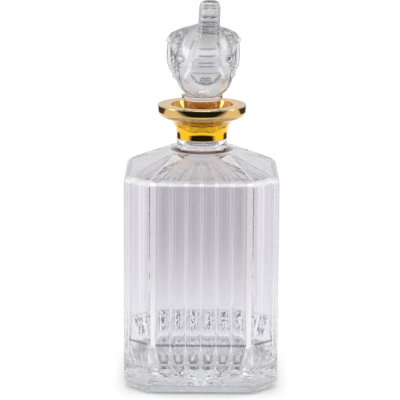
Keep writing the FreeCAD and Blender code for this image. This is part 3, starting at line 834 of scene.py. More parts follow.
def turned_mesh(outline, columns):
    """Turns an outline of (radius, height) in mm about Z. A closed outline makes a ring-shaped solid,
    and one whose ends lie on the axis makes a plug."""
    on_axis = outline[0][0] < ON_AXIS
    bm = bmesh.new()
    rings = []
    for radius, height in outline:
        if radius < ON_AXIS:
            rings.append([bm.verts.new((0.0, 0.0, height * MM))])
            continue
        angles = [2 * math.pi * step / columns for step in range(columns)]
        spots = [(radius * math.cos(a) * MM, radius * math.sin(a) * MM, height * MM) for a in angles]
        rings.append([bm.verts.new(spot) for spot in spots])
    pairs = list(zip(rings, rings[1:])) if on_axis else list(zip(rings, rings[1:] + rings[:1]))
    for lower, upper in pairs:
        if len(lower) == 1:
            fan(bm, upper, lower[0])
        elif len(upper) == 1:
            fan(bm, lower, upper[0])
        else:
            skin(bm, lower, upper)
    return bm


print("lathe ready")

# %% [markdown]
# Every piece ends the same way. Its normals are turned outward, weighted normals smooth its shading, and it
# gets its finish. Then it is parented to the body it rides on, and the CAD node it stands for is hidden. One
# function does all of it, so that no piece misses a step.

# %% Finishing a piece
SHARP_ANGLE = math.radians(32)


def finished_piece(name, bm, material, node, body):
    """Turns a bmesh into a piece with weighted normals that stands for one CAD node.
    Faces with a second material number are flat facets, and the rest is smooth."""
    bmesh.ops.recalc_face_normals(bm, faces=bm.faces)
    for face in bm.faces:
        face.smooth = face.material_index == 0
        face.material_index = 0
    mesh = bpy.data.meshes.new(name)
    bm.to_mesh(mesh)
    bm.free()
    mesh.set_sharp_from_angle(angle=SHARP_ANGLE)
    piece = bpy.data.objects.new(name, mesh)
    bpy.context.scene.collection.objects.link(piece)
    weighted = piece.modifiers.new("weighted_normals", "WEIGHTED_NORMAL")
    weighted.keep_sharp = True
    apply_modifiers(piece)
    piece.data.materials.clear()
    piece.data.materials.append(material)
    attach(piece, body)
    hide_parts(node)
    print(name, "faces:", len(piece.data.polygons))
    return piece


def apply_modifiers(piece):
    graph = bpy.context.evaluated_depsgraph_get()
    mesh = bpy.data.meshes.new_from_object(piece.evaluated_get(graph), depsgraph=graph)
    piece.modifiers.clear()
    piece.data = mesh
    mesh.name = piece.name


print("edges stay sharp from", round(math.degrees(SHARP_ANGLE)), "degrees")

# %% [markdown]
# ## Gilt collar
# A thin sleeve grips the neck, sweeps out in a hollow curve and ends in an upright rim. On top the rim is
# flat, and inside it a funnel leads down to the bore. Its rim, its height and its seat come from the frame.

# %% Gilt collar
COLLAR_COLUMNS = 160
collar_low, collar_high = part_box("neck_collar")
RIM_RADIUS = collar_high.x / MM
SEAT_HEIGHT = collar_low.z / MM
COLLAR_TOP = collar_high.z / MM
LIP_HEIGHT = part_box("decanter_body")[1].z / MM
SLEEVE_BORE = 15.9
SLEEVE_OUTER = 16.6
SLEEVE_LENGTH = 3.5
FLARE_END = (24.1, 173.6)
RIM_HEIGHT = 4.2
MOUTH_RADIUS = 20.2
THROAT_RADIUS = 12.9
CEMENT_FILM = 0.2
LEDGE_HEIGHT = LIP_HEIGHT + CEMENT_FILM
FLARE_CURVE = 10.6
RIM_CURVE = 6.2
RIM_CURVE_STEPS = 8
FUNNEL_CURVE = 16.0
RIM_EASE = 0.55

collar_outline = [
    (SLEEVE_BORE, SEAT_HEIGHT),
    (SLEEVE_OUTER, SEAT_HEIGHT),
    *arc_points((SLEEVE_OUTER, SEAT_HEIGHT + SLEEVE_LENGTH), FLARE_END, FLARE_CURVE, 1),
    *arc_points(FLARE_END, (RIM_RADIUS, COLLAR_TOP - RIM_HEIGHT), RIM_CURVE, -1, RIM_CURVE_STEPS)[1:],
    (RIM_RADIUS, COLLAR_TOP),
    *arc_points((MOUTH_RADIUS, COLLAR_TOP), (THROAT_RADIUS, LEDGE_HEIGHT), FUNNEL_CURVE, 1),
    (SLEEVE_BORE, LEDGE_HEIGHT),
]
collar_mesh = turned_mesh(eased(collar_outline, RIM_EASE, True), COLLAR_COLUMNS)
finished_piece("gilt_neck_collar", collar_mesh, gilding, "neck_collar", "bottle")

# %% [markdown]
# The cement is a thin film round the neck's seat and over its lip. Glue wets the glass, so there is no air
# between them: the film starts a hair inside the glass, and the amber then shows through the neck as it
# really does.

# %% Collar cement
SEAT_RADIUS = 15.7
WETTING = 0.02
FILM_COLUMNS = 96

cement_outline = [
    (SEAT_RADIUS - WETTING, SEAT_HEIGHT + WETTING),
    (SLEEVE_BORE - WETTING, SEAT_HEIGHT + WETTING),
    (SLEEVE_BORE - WETTING, LEDGE_HEIGHT - WETTING),
    (THROAT_RADIUS + WETTING, LEDGE_HEIGHT - WETTING),
    (THROAT_RADIUS + WETTING, LIP_HEIGHT - WETTING),
    (SEAT_RADIUS - WETTING, LIP_HEIGHT - WETTING),
]
cement_mesh = turned_mesh(cement_outline, FILM_COLUMNS)
finished_piece("amber_collar_cement", cement_mesh, amber_epoxy, "collar_cement", "bottle")

# %% [markdown]
# ## Fluted cavity
# The bottle's inside is cut by upright flutes, six to a face and two to a corner. They are shallow and
# nearly flat, meet in narrow ridges, lean in over a bevel at the floor, and run out into the round throat at
# the shoulder. All of it follows one rule, so Geometry Nodes make it: a flat grid is rolled up, and each of
# its points finds its flute, its place across that flute and its height. The ridges come in as 32 points
# round the cavity.

# %% Ridges round the cavity
body_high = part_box("decanter_body")[1]
BODY_HALF = body_high.x / MM
CORNER_CUT = 15.9
BODY_CORNER = (2 * BODY_HALF - CORNER_CUT) / math.sqrt(2)
WALL = 5.5
CORNER_WALL = 6.7
FLUTE_DEPTH = 1.2
FLUTES_PER_FACE = 6
FLUTES_PER_CORNER = 2
CORNER_SHARE = 0.04
FLOOR_INSET = 4.5
FLOOR_HEIGHT = 15.0
WALL_FOOT = 29.5
WALL_HEAD = 136.3
THROAT_HEIGHT = 149.5
BORE_BOTTOM = 11.6


def cut_square(half, corner):
    """Eight corners of a square of half width `half` whose corner faces lie `corner` from the axis."""
    flat = corner * math.sqrt(2) - half
    return [(half, -flat), (half, flat), (flat, half), (-flat, half),
            (-half, flat), (-half, -flat), (-flat, -half), (flat, -half)]


def ridge_points(half, corner):
    corners = [np.array(spot) for spot in cut_square(half, corner)]
    ridges = []
    for side, start in enumerate(corners):
        end = corners[(side + 1) % 8]
        count = FLUTES_PER_CORNER if side % 2 else FLUTES_PER_FACE
        ridges += [start + (end - start) * step / count for step in range(count)]
    return ridges


def outward_ways():
    """The way each flute is cut. Its length is the share of the full depth: corner flutes are shallower."""
    ways = []
    for side in range(8):
        count = FLUTES_PER_CORNER if side % 2 else FLUTES_PER_FACE
        share = CORNER_SHARE if side % 2 else 1.0
        ways += [(share * math.cos(side * math.pi / 4), share * math.sin(side * math.pi / 4), 0.0)] * count
    return ways


ridge_half = BODY_HALF - WALL - FLUTE_DEPTH
ridge_corner = BODY_CORNER - CORNER_WALL - FLUTE_DEPTH
wall_ridges = ridge_points(ridge_half, ridge_corner)
floor_ridges = ridge_points(ridge_half - FLOOR_INSET, ridge_corner - FLOOR_INSET)
throat_spots = [spot / np.linalg.norm(spot) * BORE_BOTTOM for spot in wall_ridges]
print("ridges:", len(wall_ridges))


def ridge_loop():
    """Loose points at the wall's ridges, which carry the floor's ridges and the flutes' outward ways."""
    mesh = bpy.data.meshes.new("ridge_loop")
    mesh.from_pydata([(x * MM, y * MM, 0.0) for x, y in wall_ridges], [], [])
    named = {
        "floor_ridge": [(x * MM, y * MM, 0.0) for x, y in floor_ridges],
        "throat_spot": [(x * MM, y * MM, 0.0) for x, y in throat_spots],
        "outward": outward_ways(),
    }
    for name, values in named.items():
        attribute = mesh.attributes.new(name, "FLOAT_VECTOR", "POINT")
        attribute.data.foreach_set("vector", np.array(values, np.float32).ravel())
    return mesh


# %% [markdown]
# The tree has named inputs, so another bottle needs only other numbers. Its rows of points run from the
# middle of the floor over the bevel and up the wall to the throat. Marks for the ridges and for the place
# across a flute are stored on the way, because the finish follows them.

# %% Flute nodes
STEPS_PER_FLUTE = 20
SCOOP_DEPTH = 1.9
SCOOP_AT_RIDGE = 0.25
FLUTE_INPUTS = [
    # name, kind of socket, value
    ("Flutes", "NodeSocketInt", len(wall_ridges)),
    ("Steps per flute", "NodeSocketInt", STEPS_PER_FLUTE),
    ("Flute depth", "NodeSocketFloat", FLUTE_DEPTH * MM),
    ("Scoop depth", "NodeSocketFloat", SCOOP_DEPTH * MM),
    ("Floor height", "NodeSocketFloat", FLOOR_HEIGHT * MM),
    ("Wall foot height", "NodeSocketFloat", WALL_FOOT * MM),
    ("Wall head height", "NodeSocketFloat", WALL_HEAD * MM),
    ("Throat height", "NodeSocketFloat", THROAT_HEIGHT * MM),
    ("Throat radius", "NodeSocketFloat", BORE_BOTTOM * MM),
    ("Crystal", "NodeSocketMaterial", bottle_crystal),
]
# Rows of the grid at which the floor, its bevel, the wall and the run-out to the throat end.
FLOOR_ROW, BEVEL_ROW, WALL_ROW, THROAT_ROW = 4, 20, 26, 36
FLUTE_FLATNESS = 4.0
RIDGE_SHARE = 0.17
# Shares of the ridge mark on the roof and the floor, which paint them clearer as painted light.
ROOF_LIGHT_SHARE = 0.35
ROOF_RUN_OUT = 1.0
GRID_ROUNDING = 0.0005
SEAM_REACH = 0.002 * MM


def make_flute_tree():
    tree = bpy.data.node_groups.new("fluted_cavity", "GeometryNodeTree")
    tree.is_modifier = True
    tree.interface.new_socket("Ridges", in_out="INPUT", socket_type="NodeSocketGeometry")
    for name, kind, value in FLUTE_INPUTS:
        tree.interface.new_socket(name, in_out="INPUT", socket_type=kind)
    tree.interface.new_socket("Cavity", in_out="OUTPUT", socket_type="NodeSocketGeometry")
    bench = Bench(tree)
    given = bench.add("NodeGroupInput").outputs
    flutes = given["Flutes"]
    columns = bench.math("ADD", bench.math("MULTIPLY", flutes, given["Steps per flute"]), 1.0)
    grid = bench.add(
        "GeometryNodeMeshGrid",
        {"Size X": 1.0, "Size Y": 1.0, "Vertices X": columns, "Vertices Y": THROAT_ROW + 1},
    ).outputs["Mesh"]
    spot = bench.parts(bench.add("GeometryNodeInputPosition").outputs[0])
    turn = bench.math("MULTIPLY", bench.math("ADD", spot["X"], 0.5), flutes)
    row = bench.math("MULTIPLY", bench.math("ADD", spot["Y"], 0.5), float(THROAT_ROW))
    flute = bench.math("FLOOR", bench.math("ADD", turn, GRID_ROUNDING))
    across = bench.math("MAXIMUM", bench.math("SUBTRACT", turn, flute), 0.0)
    here = bench.math("MODULO", flute, flutes)
    after = bench.math("MODULO", bench.math("ADD", flute, 1.0), flutes)

    def ridge_value(name, index):
        if name == "position":
            stored = bench.add("GeometryNodeInputPosition")
        else:
            stored = bench.add("GeometryNodeInputNamedAttribute", {"Name": name}, data_type="FLOAT_VECTOR")
        node = bench.add(
            "GeometryNodeSampleIndex",
            {"Geometry": given["Ridges"], "Value": stored.outputs[0], "Index": index},
            data_type="FLOAT_VECTOR",
        )
        return node.outputs[0]

    def between(name):
        return bench.mix_vector(across, ridge_value(name, here), ridge_value(name, after))

    # A flat-bottomed flute: nearly plane across its middle, with a narrow ridge at each side.
    from_middle = bench.math("ABSOLUTE", bench.math("SUBTRACT", bench.math("MULTIPLY", across, 2.0), 1.0))
    swell = bench.math("SUBTRACT", 1.0, bench.math("POWER", from_middle, FLUTE_FLATNESS))
    from_axis = bench.ramp(row, 0.0, FLOOR_ROW)
    up_bevel = bench.ramp(row, FLOOR_ROW, BEVEL_ROW)
    up_wall = bench.ramp(row, BEVEL_ROW, WALL_ROW)
    up_throat = bench.ramp(row, WALL_ROW, THROAT_ROW)
    run_out = bench.ramp(up_throat, 0.0, ROOF_RUN_OUT, 1.0, 0.0, kind="SMOOTHSTEP")
    scallop = bench.scaled(ridge_value("outward", here), bench.product(swell, given["Flute depth"], run_out))
    wall = bench.vector("ADD", between("position"), scallop)
    floor = bench.vector("ADD", between("floor_ridge"), scallop)
    throat = bench.scaled(bench.vector("NORMALIZE", between("throat_spot")), given["Throat radius"])

    place = bench.mix_vector(up_bevel, bench.scaled(floor, from_axis), wall)
    place = bench.mix_vector(up_throat, place, throat)
    # Each flute ends at the floor in a round scoop, which swells out of the straight bevel.
    fullness = bench.ramp(swell, 0.0, 1.0, SCOOP_AT_RIDGE, 1.0)
    hollow = bench.math("SINE", bench.math("MULTIPLY", up_bevel, math.pi))
    scoop = bench.math("MULTIPLY", bench.math("MULTIPLY", fullness, hollow), given["Scoop depth"])
    bevel_length = math.hypot(FLOOR_INSET, WALL_FOOT - FLOOR_HEIGHT)
    sideways = bench.math("MULTIPLY", scoop, (WALL_FOOT - FLOOR_HEIGHT) / bevel_length)
    place = bench.vector("ADD", place, bench.scaled(ridge_value("outward", here), sideways))
    levels = ("Floor height", "Wall foot height", "Wall head height", "Throat height")
    heights = [given[level] for level in levels]
    height = bench.math("SUBTRACT", heights[0], bench.math("MULTIPLY", scoop, FLOOR_INSET / bevel_length))
    for share, low, high in zip((up_bevel, up_wall, up_throat), heights, heights[1:]):
        height = bench.math("ADD", height, bench.math("MULTIPLY", share, bench.math("SUBTRACT", high, low)))
    lifted = bench.vector("ADD", place, bench.add("ShaderNodeCombineXYZ", {"Z": height}).outputs[0])
    from_ridge = bench.math("MINIMUM", across, bench.math("SUBTRACT", 1.0, across))
    ridge = bench.ramp(from_ridge, RIDGE_SHARE, 0.0, kind="SMOOTHSTEP")
    # The roof and the floor also take the ridge mark, which paints them clearer as painted light.
    ridge = bench.math("MAXIMUM", ridge, bench.ramp(row, WALL_ROW, WALL_ROW + 2, 0.0, ROOF_LIGHT_SHARE))
    ridge = bench.math("MAXIMUM", ridge, bench.ramp(row, FLOOR_ROW + 1, FLOOR_ROW))
    marks = {
        RIDGE_MARK: ridge,
        SWELL_MARK: bench.math("SINE", bench.math("MULTIPLY", across, math.pi)),
        INNER_MARK: 1.0,
    }
    # The marks read the flat grid, so they are stored before it is rolled up.
    marked = grid
    for name, value in marks.items():
        sockets = {"Geometry": marked, "Name": name, "Value": value}
        marked = bench.add("GeometryNodeStoreNamedAttribute", sockets, data_type="FLOAT").outputs[0]
    moved = bench.add("GeometryNodeSetPosition", {"Geometry": marked, "Position": lifted}).outputs[0]
    closed = bench.add("GeometryNodeMergeByDistance", {"Geometry": moved, "Distance": SEAM_REACH}).outputs[0]
    real = bench.add("GeometryNodeRealizeInstances", {"Geometry": closed}).outputs[0]
    clad = bench.add("GeometryNodeSetMaterial", {"Geometry": real, "Material": given["Crystal"]}).outputs[0]
    bench.add("NodeGroupOutput", {"Cavity": clad})
    return tree


flute_tree = make_flute_tree()
print("flute nodes:", len(flute_tree.nodes))

# %% [markdown]
# The tree runs as a modifier on the loose ridge points. Its inputs are set before the first evaluation. The
# result is kept as a plain mesh, so that the outside of the bottle can be sewn onto its rim.

# %% Cavity mesh
def make_cavity():
    """Runs the tree on the ridge points and returns the cavity's wall as a plain mesh."""
    holder = bpy.data.objects.new("cavity_wall", ridge_loop())
    bpy.context.scene.collection.objects.link(holder)
    modifier = holder.modifiers.new("flutes", "NODES")
    modifier.node_group = flute_tree
    values = {name: value for name, kind, value in FLUTE_INPUTS}
    for item in modifier.node_group.interface.items_tree:
        if item.item_type == "SOCKET" and item.in_out == "INPUT" and item.name in values:
            modifier[item.identifier] = values[item.name]
    graph = bpy.context.evaluated_depsgraph_get()
    mesh = bpy.data.meshes.new_from_object(holder.evaluated_get(graph), depsgraph=graph)
    bpy.data.objects.remove(holder)
    return mesh


cavity_mesh = make_cavity()
print("cavity vertices:", len(cavity_mesh.vertices), "faces:", len(cavity_mesh.polygons))

# %% [markdown]
# ## Bottle
# Outside, the bottle is a stack of cut-corner squares: a bevelled base, upright walls, a bright bevel at the
# shoulder and a shallow roof up to the crown. Each level is three numbers, and easing that list rounds every
# level edge at once. The upright edges are rounded in plan. The underside carries a cut star, whose flat
# facets glint up through the base. The neck continues the cavity's own rim up the bore, over the lip and down
# to the crown, so inside and outside are one closed skin, as blown glass is.

# %% Bottle outside
EDGE_ROUND = 0.7
EDGE_STEPS = 6
LEVEL_EASE = 0.9
CROWN_HALF = 20.5
CROWN_CUT = 3.6
CROWN_CORNER = (2 * CROWN_HALF - CROWN_CUT) / math.sqrt(2)
BASE_INSET = 5.3
SHOULDER_INSET = 3.0
UNDERSIDE_INSET = 6.9
BASE_HEIGHT = 5.5
SHOULDER_FOOT = 137.3
SHOULDER_HEAD = 140.3
CROWN_HEIGHT = 152.5
EIGHTH_TURN = 45.0
STAR_POINTS = 48
STAR_RINGS = 6
STAR_RADII = (42.0, 4.0)
STAR_DEPTH = 2.0

bottle_levels = [
    # half width, distance to the corner face, height
    (BODY_HALF - UNDERSIDE_INSET, BODY_CORNER - UNDERSIDE_INSET, 0.0),
    (BODY_HALF - BASE_INSET, BODY_CORNER - BASE_INSET, 0.0),
    (BODY_HALF, BODY_CORNER, BASE_HEIGHT),
    (BODY_HALF, BODY_CORNER, SHOULDER_FOOT),
    (BODY_HALF - SHOULDER_INSET, BODY_CORNER - SHOULDER_INSET, SHOULDER_HEAD),
    (CROWN_HALF, CROWN_CORNER, CROWN_HEIGHT),
]


def rounded_cut_square(half, corner, height, rounding):
    """Cut-corner square in plan, with its eight upright edges rounded."""
    spots = []
    for x, y in cut_square(half, corner):
        turn = round(math.degrees(math.atan2(y, x)) / EIGHTH_TURN - 0.5) * EIGHTH_TURN
        middle = math.radians(turn + EIGHTH_TURN / 2)
        back = rounding / math.cos(math.radians(EIGHTH_TURN / 2))
        centre_x, centre_y = x - back * math.cos(middle), y - back * math.sin(middle)
        for step in range(EDGE_STEPS + 1):
            angle = math.radians(turn + EIGHTH_TURN * step / EDGE_STEPS)
            spot = (centre_x + rounding * math.cos(angle), centre_y + rounding * math.sin(angle), height)
            spots.append(spot)
    return spots


def ring_of(bm, spots):
    return [bm.verts.new([length * MM for length in spot]) for spot in spots]


def rim_loop(bm):
    """The cavity's open rim, in order round the neck."""
    loop = {vertex for edge in bm.edges if edge.is_boundary for vertex in edge.verts}
    return sorted(loop, key=lambda vertex: math.atan2(vertex.co.y, vertex.co.x))


print("levels of the outside:", len(bottle_levels))

# %% [markdown]
# The neck is turned like the collar, but from the cavity's own rim, so that both share their points. The
# underside could be one flat face. It is a star of small cut diamonds instead, since the base glints, and its
# facets stay flat while the rest of the glass is smooth.

# %% Bottle neck and assembly
NECK_RADIUS = 16.4
NECK_FOOT = 20.0
NECK_FILLET = 3.6
BORE_RADIUS = 12.5
LIP_EASE = 0.5
# The neck takes the full ridge mark, which paints it clear as painted light.
NECK_LIGHT_SHARE = 1.0

neck_outline = eased(
    [
        (BORE_BOTTOM, THROAT_HEIGHT),
        (BORE_RADIUS, LIP_HEIGHT),
        (SEAT_RADIUS, LIP_HEIGHT),
        (SEAT_RADIUS, SEAT_HEIGHT),
        (NECK_RADIUS, SEAT_HEIGHT),
        *arc_points((NECK_RADIUS, CROWN_HEIGHT + NECK_FILLET), (NECK_FOOT, CROWN_HEIGHT), NECK_FILLET, -1),
    ],
    LIP_EASE,
    False,
)


def close_with_star(bm, rim):
    """Closes the underside with a cut star of small diamonds: every other point of each ring is cut into
    the glass, and the rings take turns. A second material number marks its facets, which stay flat."""
    walls = set(bm.faces)
    rings = []
    for ring, radius in enumerate(np.linspace(*STAR_RADII, STAR_RINGS)):
        depth = 0.0 if ring == 0 else STAR_DEPTH * math.sqrt(radius / STAR_RADII[0])
        angles = [2 * math.pi * point / STAR_POINTS for point in range(STAR_POINTS)]
        spots = [
            (radius * math.cos(a), radius * math.sin(a), depth * ((point + ring) % 2))
            for point, a in enumerate(angles)
        ]
        rings.append(ring_of(bm, spots))
    for outer, inner in zip(rings, rings[1:]):
        skin(bm, outer, inner)
    fan(bm, rings[-1], bm.verts.new((0.0, 0.0, 0.0)))
    facets = bmesh.ops.triangulate(bm, faces=list(set(bm.faces) - walls))["faces"]
    for face in facets:
        face.material_index = 1
    fill_between(bm, rim, rings[0])


def fill_between(bm, first, second):
    """Closes the flat between two rings of points, one inside the other."""
    edges = [
        bm.edges.get((ring[index], ring[(index + 1) % len(ring)]))
        for ring in (first, second)
        for index in range(len(ring))
    ]
    bmesh.ops.triangle_fill(bm, use_beauty=True, edges=edges)


def make_bottle():
    bm = bmesh.new()
    bm.from_mesh(cavity_mesh)
    ridge_layer = bm.verts.layers.float[RIDGE_MARK]
    lower = rim_loop(bm)
    angles = [math.atan2(vertex.co.y, vertex.co.x) for vertex in lower]
    for radius, height in neck_outline[1:]:
        upper = ring_of(bm, [(radius * math.cos(a), radius * math.sin(a), height) for a in angles])
        skin(bm, lower, upper)
        for vertex in upper:
            # Painted light: the neck is painted clear.
            vertex[ridge_layer] = NECK_LIGHT_SHARE
        lower = upper
    neck_foot = lower
    walls = [
        ring_of(bm, rounded_cut_square(half, corner, height, EDGE_ROUND))
        for half, corner, height in eased(bottle_levels, LEVEL_EASE, False)
    ]
    for below, above in zip(walls, walls[1:]):
        skin(bm, below, above)
    close_with_star(bm, walls[0])
    fill_between(bm, neck_foot, walls[-1])
    return bm


finished_piece("crystal_bottle", make_bottle(), bottle_crystal, "decanter_body", "bottle")

# %% [markdown]
# ## Stopper plug and its rings
# The stopper's stem shows above the collar. Below, hidden in the neck, it tapers to a plug with two square
# grooves, and a clear rubber ring sits in each. All are turned. A thin adhesive disc joins the stem's flange
# to the head.

# %% Stopper plug
plug_low, plug_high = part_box("stopper_plug")
PLUG_BOTTOM = plug_low.z / MM
PLUG_TOP = plug_high.z / MM
FLANGE_RADIUS = plug_high.x / MM
STEM_RADIUS = 12.0
PLUG_WAIST = 11.7
PLUG_TAPER = 0.7
RING_CORD = 2.2
RING_CLEARANCE = 0.08
GROOVE_WIDTH = 2.8
RING_HEIGHTS = (160.5, 167.5)
FLANGE_HEIGHT = 1.7
FLANGE_STEPS = 8
PLUG_CHAMFER = 1.0
STEM_STEP = 0.3
PLUG_EASE = 0.3
PLUG_COLUMNS = 128


def bore_radius_at(height):
    narrowing = BORE_RADIUS - BORE_BOTTOM
    return BORE_RADIUS - narrowing * (LIP_HEIGHT - height) / (LIP_HEIGHT - THROAT_HEIGHT)


def plug_radius_at(height):
    return PLUG_WAIST - PLUG_TAPER * (LIP_HEIGHT - height) / (LIP_HEIGHT - PLUG_BOTTOM)


def ring_middle_at(height):
    return bore_radius_at(height) - RING_CLEARANCE - RING_CORD / 2


def groove(height):
    floor = ring_middle_at(height) - RING_CORD / 2 - RING_CLEARANCE
    low, high = height - GROOVE_WIDTH / 2, height + GROOVE_WIDTH / 2
    return [(plug_radius_at(low), low), (floor, low), (floor, high), (plug_radius_at(high), high)]


flange_lip = FLANGE_RADIUS - STEM_RADIUS
flange_foot = PLUG_TOP - FLANGE_HEIGHT
plug_outline = [
    (0.0, PLUG_BOTTOM),
    (plug_radius_at(PLUG_BOTTOM) - PLUG_CHAMFER, PLUG_BOTTOM),
    (plug_radius_at(PLUG_BOTTOM + PLUG_CHAMFER), PLUG_BOTTOM + PLUG_CHAMFER),
    *groove(RING_HEIGHTS[0]),
    *groove(RING_HEIGHTS[1]),
    (PLUG_WAIST, LIP_HEIGHT),
    (STEM_RADIUS, LIP_HEIGHT + STEM_STEP),
    *arc_points(
        (STEM_RADIUS, flange_foot - flange_lip), (FLANGE_RADIUS, flange_foot), flange_lip, 1, FLANGE_STEPS
    ),
    (FLANGE_RADIUS, PLUG_TOP),
    (0.0, PLUG_TOP),
]
plug_mesh = turned_mesh(eased(plug_outline, PLUG_EASE, False), PLUG_COLUMNS)
finished_piece(
    "crystal_stopper_plug", plug_mesh, stopper_crystal, "stopper_plug", "stopper"
)

# %% [markdown]
# Each ring is a round rubber cord. It could be a torus from Blender's menu, but turning a circle on the same
# lathe ties it to its groove and to the bore. Both rings are one piece, because they stand for one node. The
# adhesive is a flat disc that ends a hair short of the glass above and below, so that no two faces lie in one
# plane.

# %% Seal rings and adhesive disc
RING_STEPS = 24


def ring_outline(height):
    middle = ring_middle_at(height)
    turns = [2 * math.pi * step / RING_STEPS for step in range(RING_STEPS)]
    return [(middle + RING_CORD / 2 * math.cos(a), height + RING_CORD / 2 * math.sin(a)) for a in turns]


rings_mesh = turned_mesh(ring_outline(RING_HEIGHTS[0]), FILM_COLUMNS)
upper_ring_mesh = bpy.data.meshes.new("upper_ring")
turned_mesh(ring_outline(RING_HEIGHTS[1]), FILM_COLUMNS).to_mesh(upper_ring_mesh)
rings_mesh.from_mesh(upper_ring_mesh)
finished_piece("clear_seal_rings", rings_mesh, clear_rubber, "seal_rings", "seal")

bond_low, bond_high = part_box("head_bond")
BOND_GAP = 0.02
bond_outline = [
    (0.0, bond_low.z / MM + BOND_GAP),
    (bond_high.x / MM, bond_low.z / MM + BOND_GAP),
    (bond_high.x / MM, bond_high.z / MM - BOND_GAP),
    (0.0, bond_high.z / MM - BOND_GAP),
]
bond_mesh = turned_mesh(bond_outline, FILM_COLUMNS)
finished_piece("clear_head_bond", bond_mesh, clear_adhesive, "head_bond", "stopper")

# %% [markdown]
# ## Elephant head
# The head was pressed in a mould, so every form flows into the next. That is hard to get from separate
# meshes. Instead, each form is written as a distance: how far a point is from a skull, a jaw, a trunk or an
# ear. Distances can be blended, which welds the forms with a soft fillet, and cut, which opens the mouth. The
# surface where the distance is zero is then turned into a mesh, and its points are pulled exactly onto that
# surface.

# %% Head shapes as distances
head_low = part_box("elephant_head")[0]
HEAD_BASE = head_low.z / MM
STOPPER_TURN = math.radians(3.0)
GLUED_ASIDE = 1.2
# Middle and radii of each round form, in mm from the middle of the seat on the stem.
SKULL = ((0.0, 2.0, 25.4), (19.0, 18.5, 21.2))
NAPE = ((0.0, 8.5, 23.8), (20.4, 12.5, 19.0))
TEMPLE = ((14.0, 3.0, 35.5), (7.2, 8.0, 6.6))
JAW = ((0.0, -4.8, 12.0), (18.2, 17.6, 14.0))
STAND_RADIUS = 12.6
STAND_HEIGHT = 6.0
NAPE_FILLET = 4.0
TEMPLE_FILLET = 7.0
JAW_FILLET = 4.0
STAND_FILLET = 2.0


def ellipsoid(p, centre, radii):
    q = (p - centre) / radii
    away = np.linalg.norm(q, axis=-1)
    slope = np.linalg.norm(q / radii, axis=-1)
    return away * (away - 1) / np.maximum(slope, 1e-9)


def weld(first, second, width):
    """Union of two forms with a soft fillet of that width between them."""
    share = np.clip(0.5 + 0.5 * (second - first) / width, 0, 1)
    return second + (first - second) * share - width * share * (1 - share)


def carve(first, tool, width):
    """The first form less the tool, with a soft edge."""
    return -weld(-first, tool, width)


def mirrored(p):
    """The same points with both sides of the head folded onto +X."""
    return np.stack((np.abs(p[..., 0]), p[..., 1], p[..., 2]), axis=-1)


def face(p):
    """Skull, nape, temples, full round jaw and the short round that stands on the stem."""
    stand = np.maximum(np.hypot(p[..., 0], p[..., 1]) - STAND_RADIUS, p[..., 2] - STAND_HEIGHT)
    form = weld(ellipsoid(p, *SKULL), ellipsoid(p, *NAPE), NAPE_FILLET)
    form = weld(form, ellipsoid(mirrored(p), *TEMPLE), TEMPLE_FILLET)
    form = weld(form, ellipsoid(p, *JAW), JAW_FILLET)
    return weld(form, stand, STAND_FILLET)


print("the skull's crown stands over the seat by", round(SKULL[0][2] + SKULL[1][2], 1), "mm")

# %% [markdown]
# The trunk is a row of balls along one curved line, each a little smaller than the one before, with short
# creases pressed across its front. The line leaves the face between the eyes, swings forward and stands
# upright.

# %% Trunk
TRUNK_STATIONS = 26
CREASE_HEIGHTS = (21.4, 23.7, 28.1, 33.2, 47.9, 50.4, 53.7, 58.8, 60.4)
CREASE_HALF_WIDTH = 0.5
CREASE_DEPTH = 0.6
CREASE_REACH = 5.5
CREASE_FRONT = (-14.0, 0.8)
TRUNK_TOP = 63.4
TRUNK_TOP_EASE = 2.5
TRUNK_ROOT = 20.0
TRUNK_RISE = 38.5
TRUNK_LEAN = 2.6
# How far forward the trunk's root lies, how much further its tip does, and how far it bows out between.
TRUNK_FORWARD = (8.0, 7.5, 7.5)
TIP_RADIUS = 6.8
ROOT_SWELL = 5.7
# The trunk is only measured within this half width, in front of this depth and above this height.
TRUNK_ROOM = (18, 6, 4)
FAR_AWAY = 60.0


def trunk_station(share):
    """Middle and radius of the trunk, from its root in the face (0) to its tip (1)."""
    start, gain, bow = TRUNK_FORWARD
    reach = start + gain * share + bow * math.sin(math.pi * share)
    middle = np.array((TRUNK_LEAN * share, -reach, TRUNK_ROOT + TRUNK_RISE * share))
    return middle, TIP_RADIUS + ROOT_SWELL * (1 - share) ** 3


def trunk(p):
    nearest = np.full(p.shape[:-1], FAR_AWAY)
    half_width, depth, height = TRUNK_ROOM
    close = (np.abs(p[..., 0]) < half_width) & (p[..., 1] < depth) & (p[..., 2] > height)
    q = p[close]
    best = np.full(len(q), FAR_AWAY)
    stations = [trunk_station(share) for share in np.linspace(0, 1, TRUNK_STATIONS)]
    for (start, start_radius), (end, end_radius) in zip(stations, stations[1:]):
        run = end - start
        share = np.clip((q - start) @ run / (run @ run), 0, 1)
        away = np.linalg.norm(q - start - share[:, None] * run, axis=-1)
        best = np.minimum(best, away - start_radius - share * (end_radius - start_radius))
    nearest[close] = best
    return carve(nearest, TRUNK_TOP - p[..., 2], TRUNK_TOP_EASE)


def before(value, limit, softness):
    """1 where the value is below the limit and 0 above it, with a soft change between."""
    return 1 / (1 + np.exp(np.clip((value - limit) / softness, -40, 40)))


def line_at(value, place, width):
    """1 where the value is at its place, and soon 0 on both sides of it."""
    return np.exp(-(((value - place) / width) ** 2))


def trunk_creases(p):
    """How deep each point lies in a crease, from 0 to 1."""
    depth = sum(line_at(p[..., 2], height, CREASE_HALF_WIDTH) for height in CREASE_HEIGHTS)
    lean = TRUNK_LEAN * np.clip((p[..., 2] - TRUNK_ROOT) / TRUNK_RISE, 0, 1)
    across = np.exp(-(((p[..., 0] - lean) / CREASE_REACH) ** 6))
    return np.minimum(depth, 1) * across * before(p[..., 1], *CREASE_FRONT)


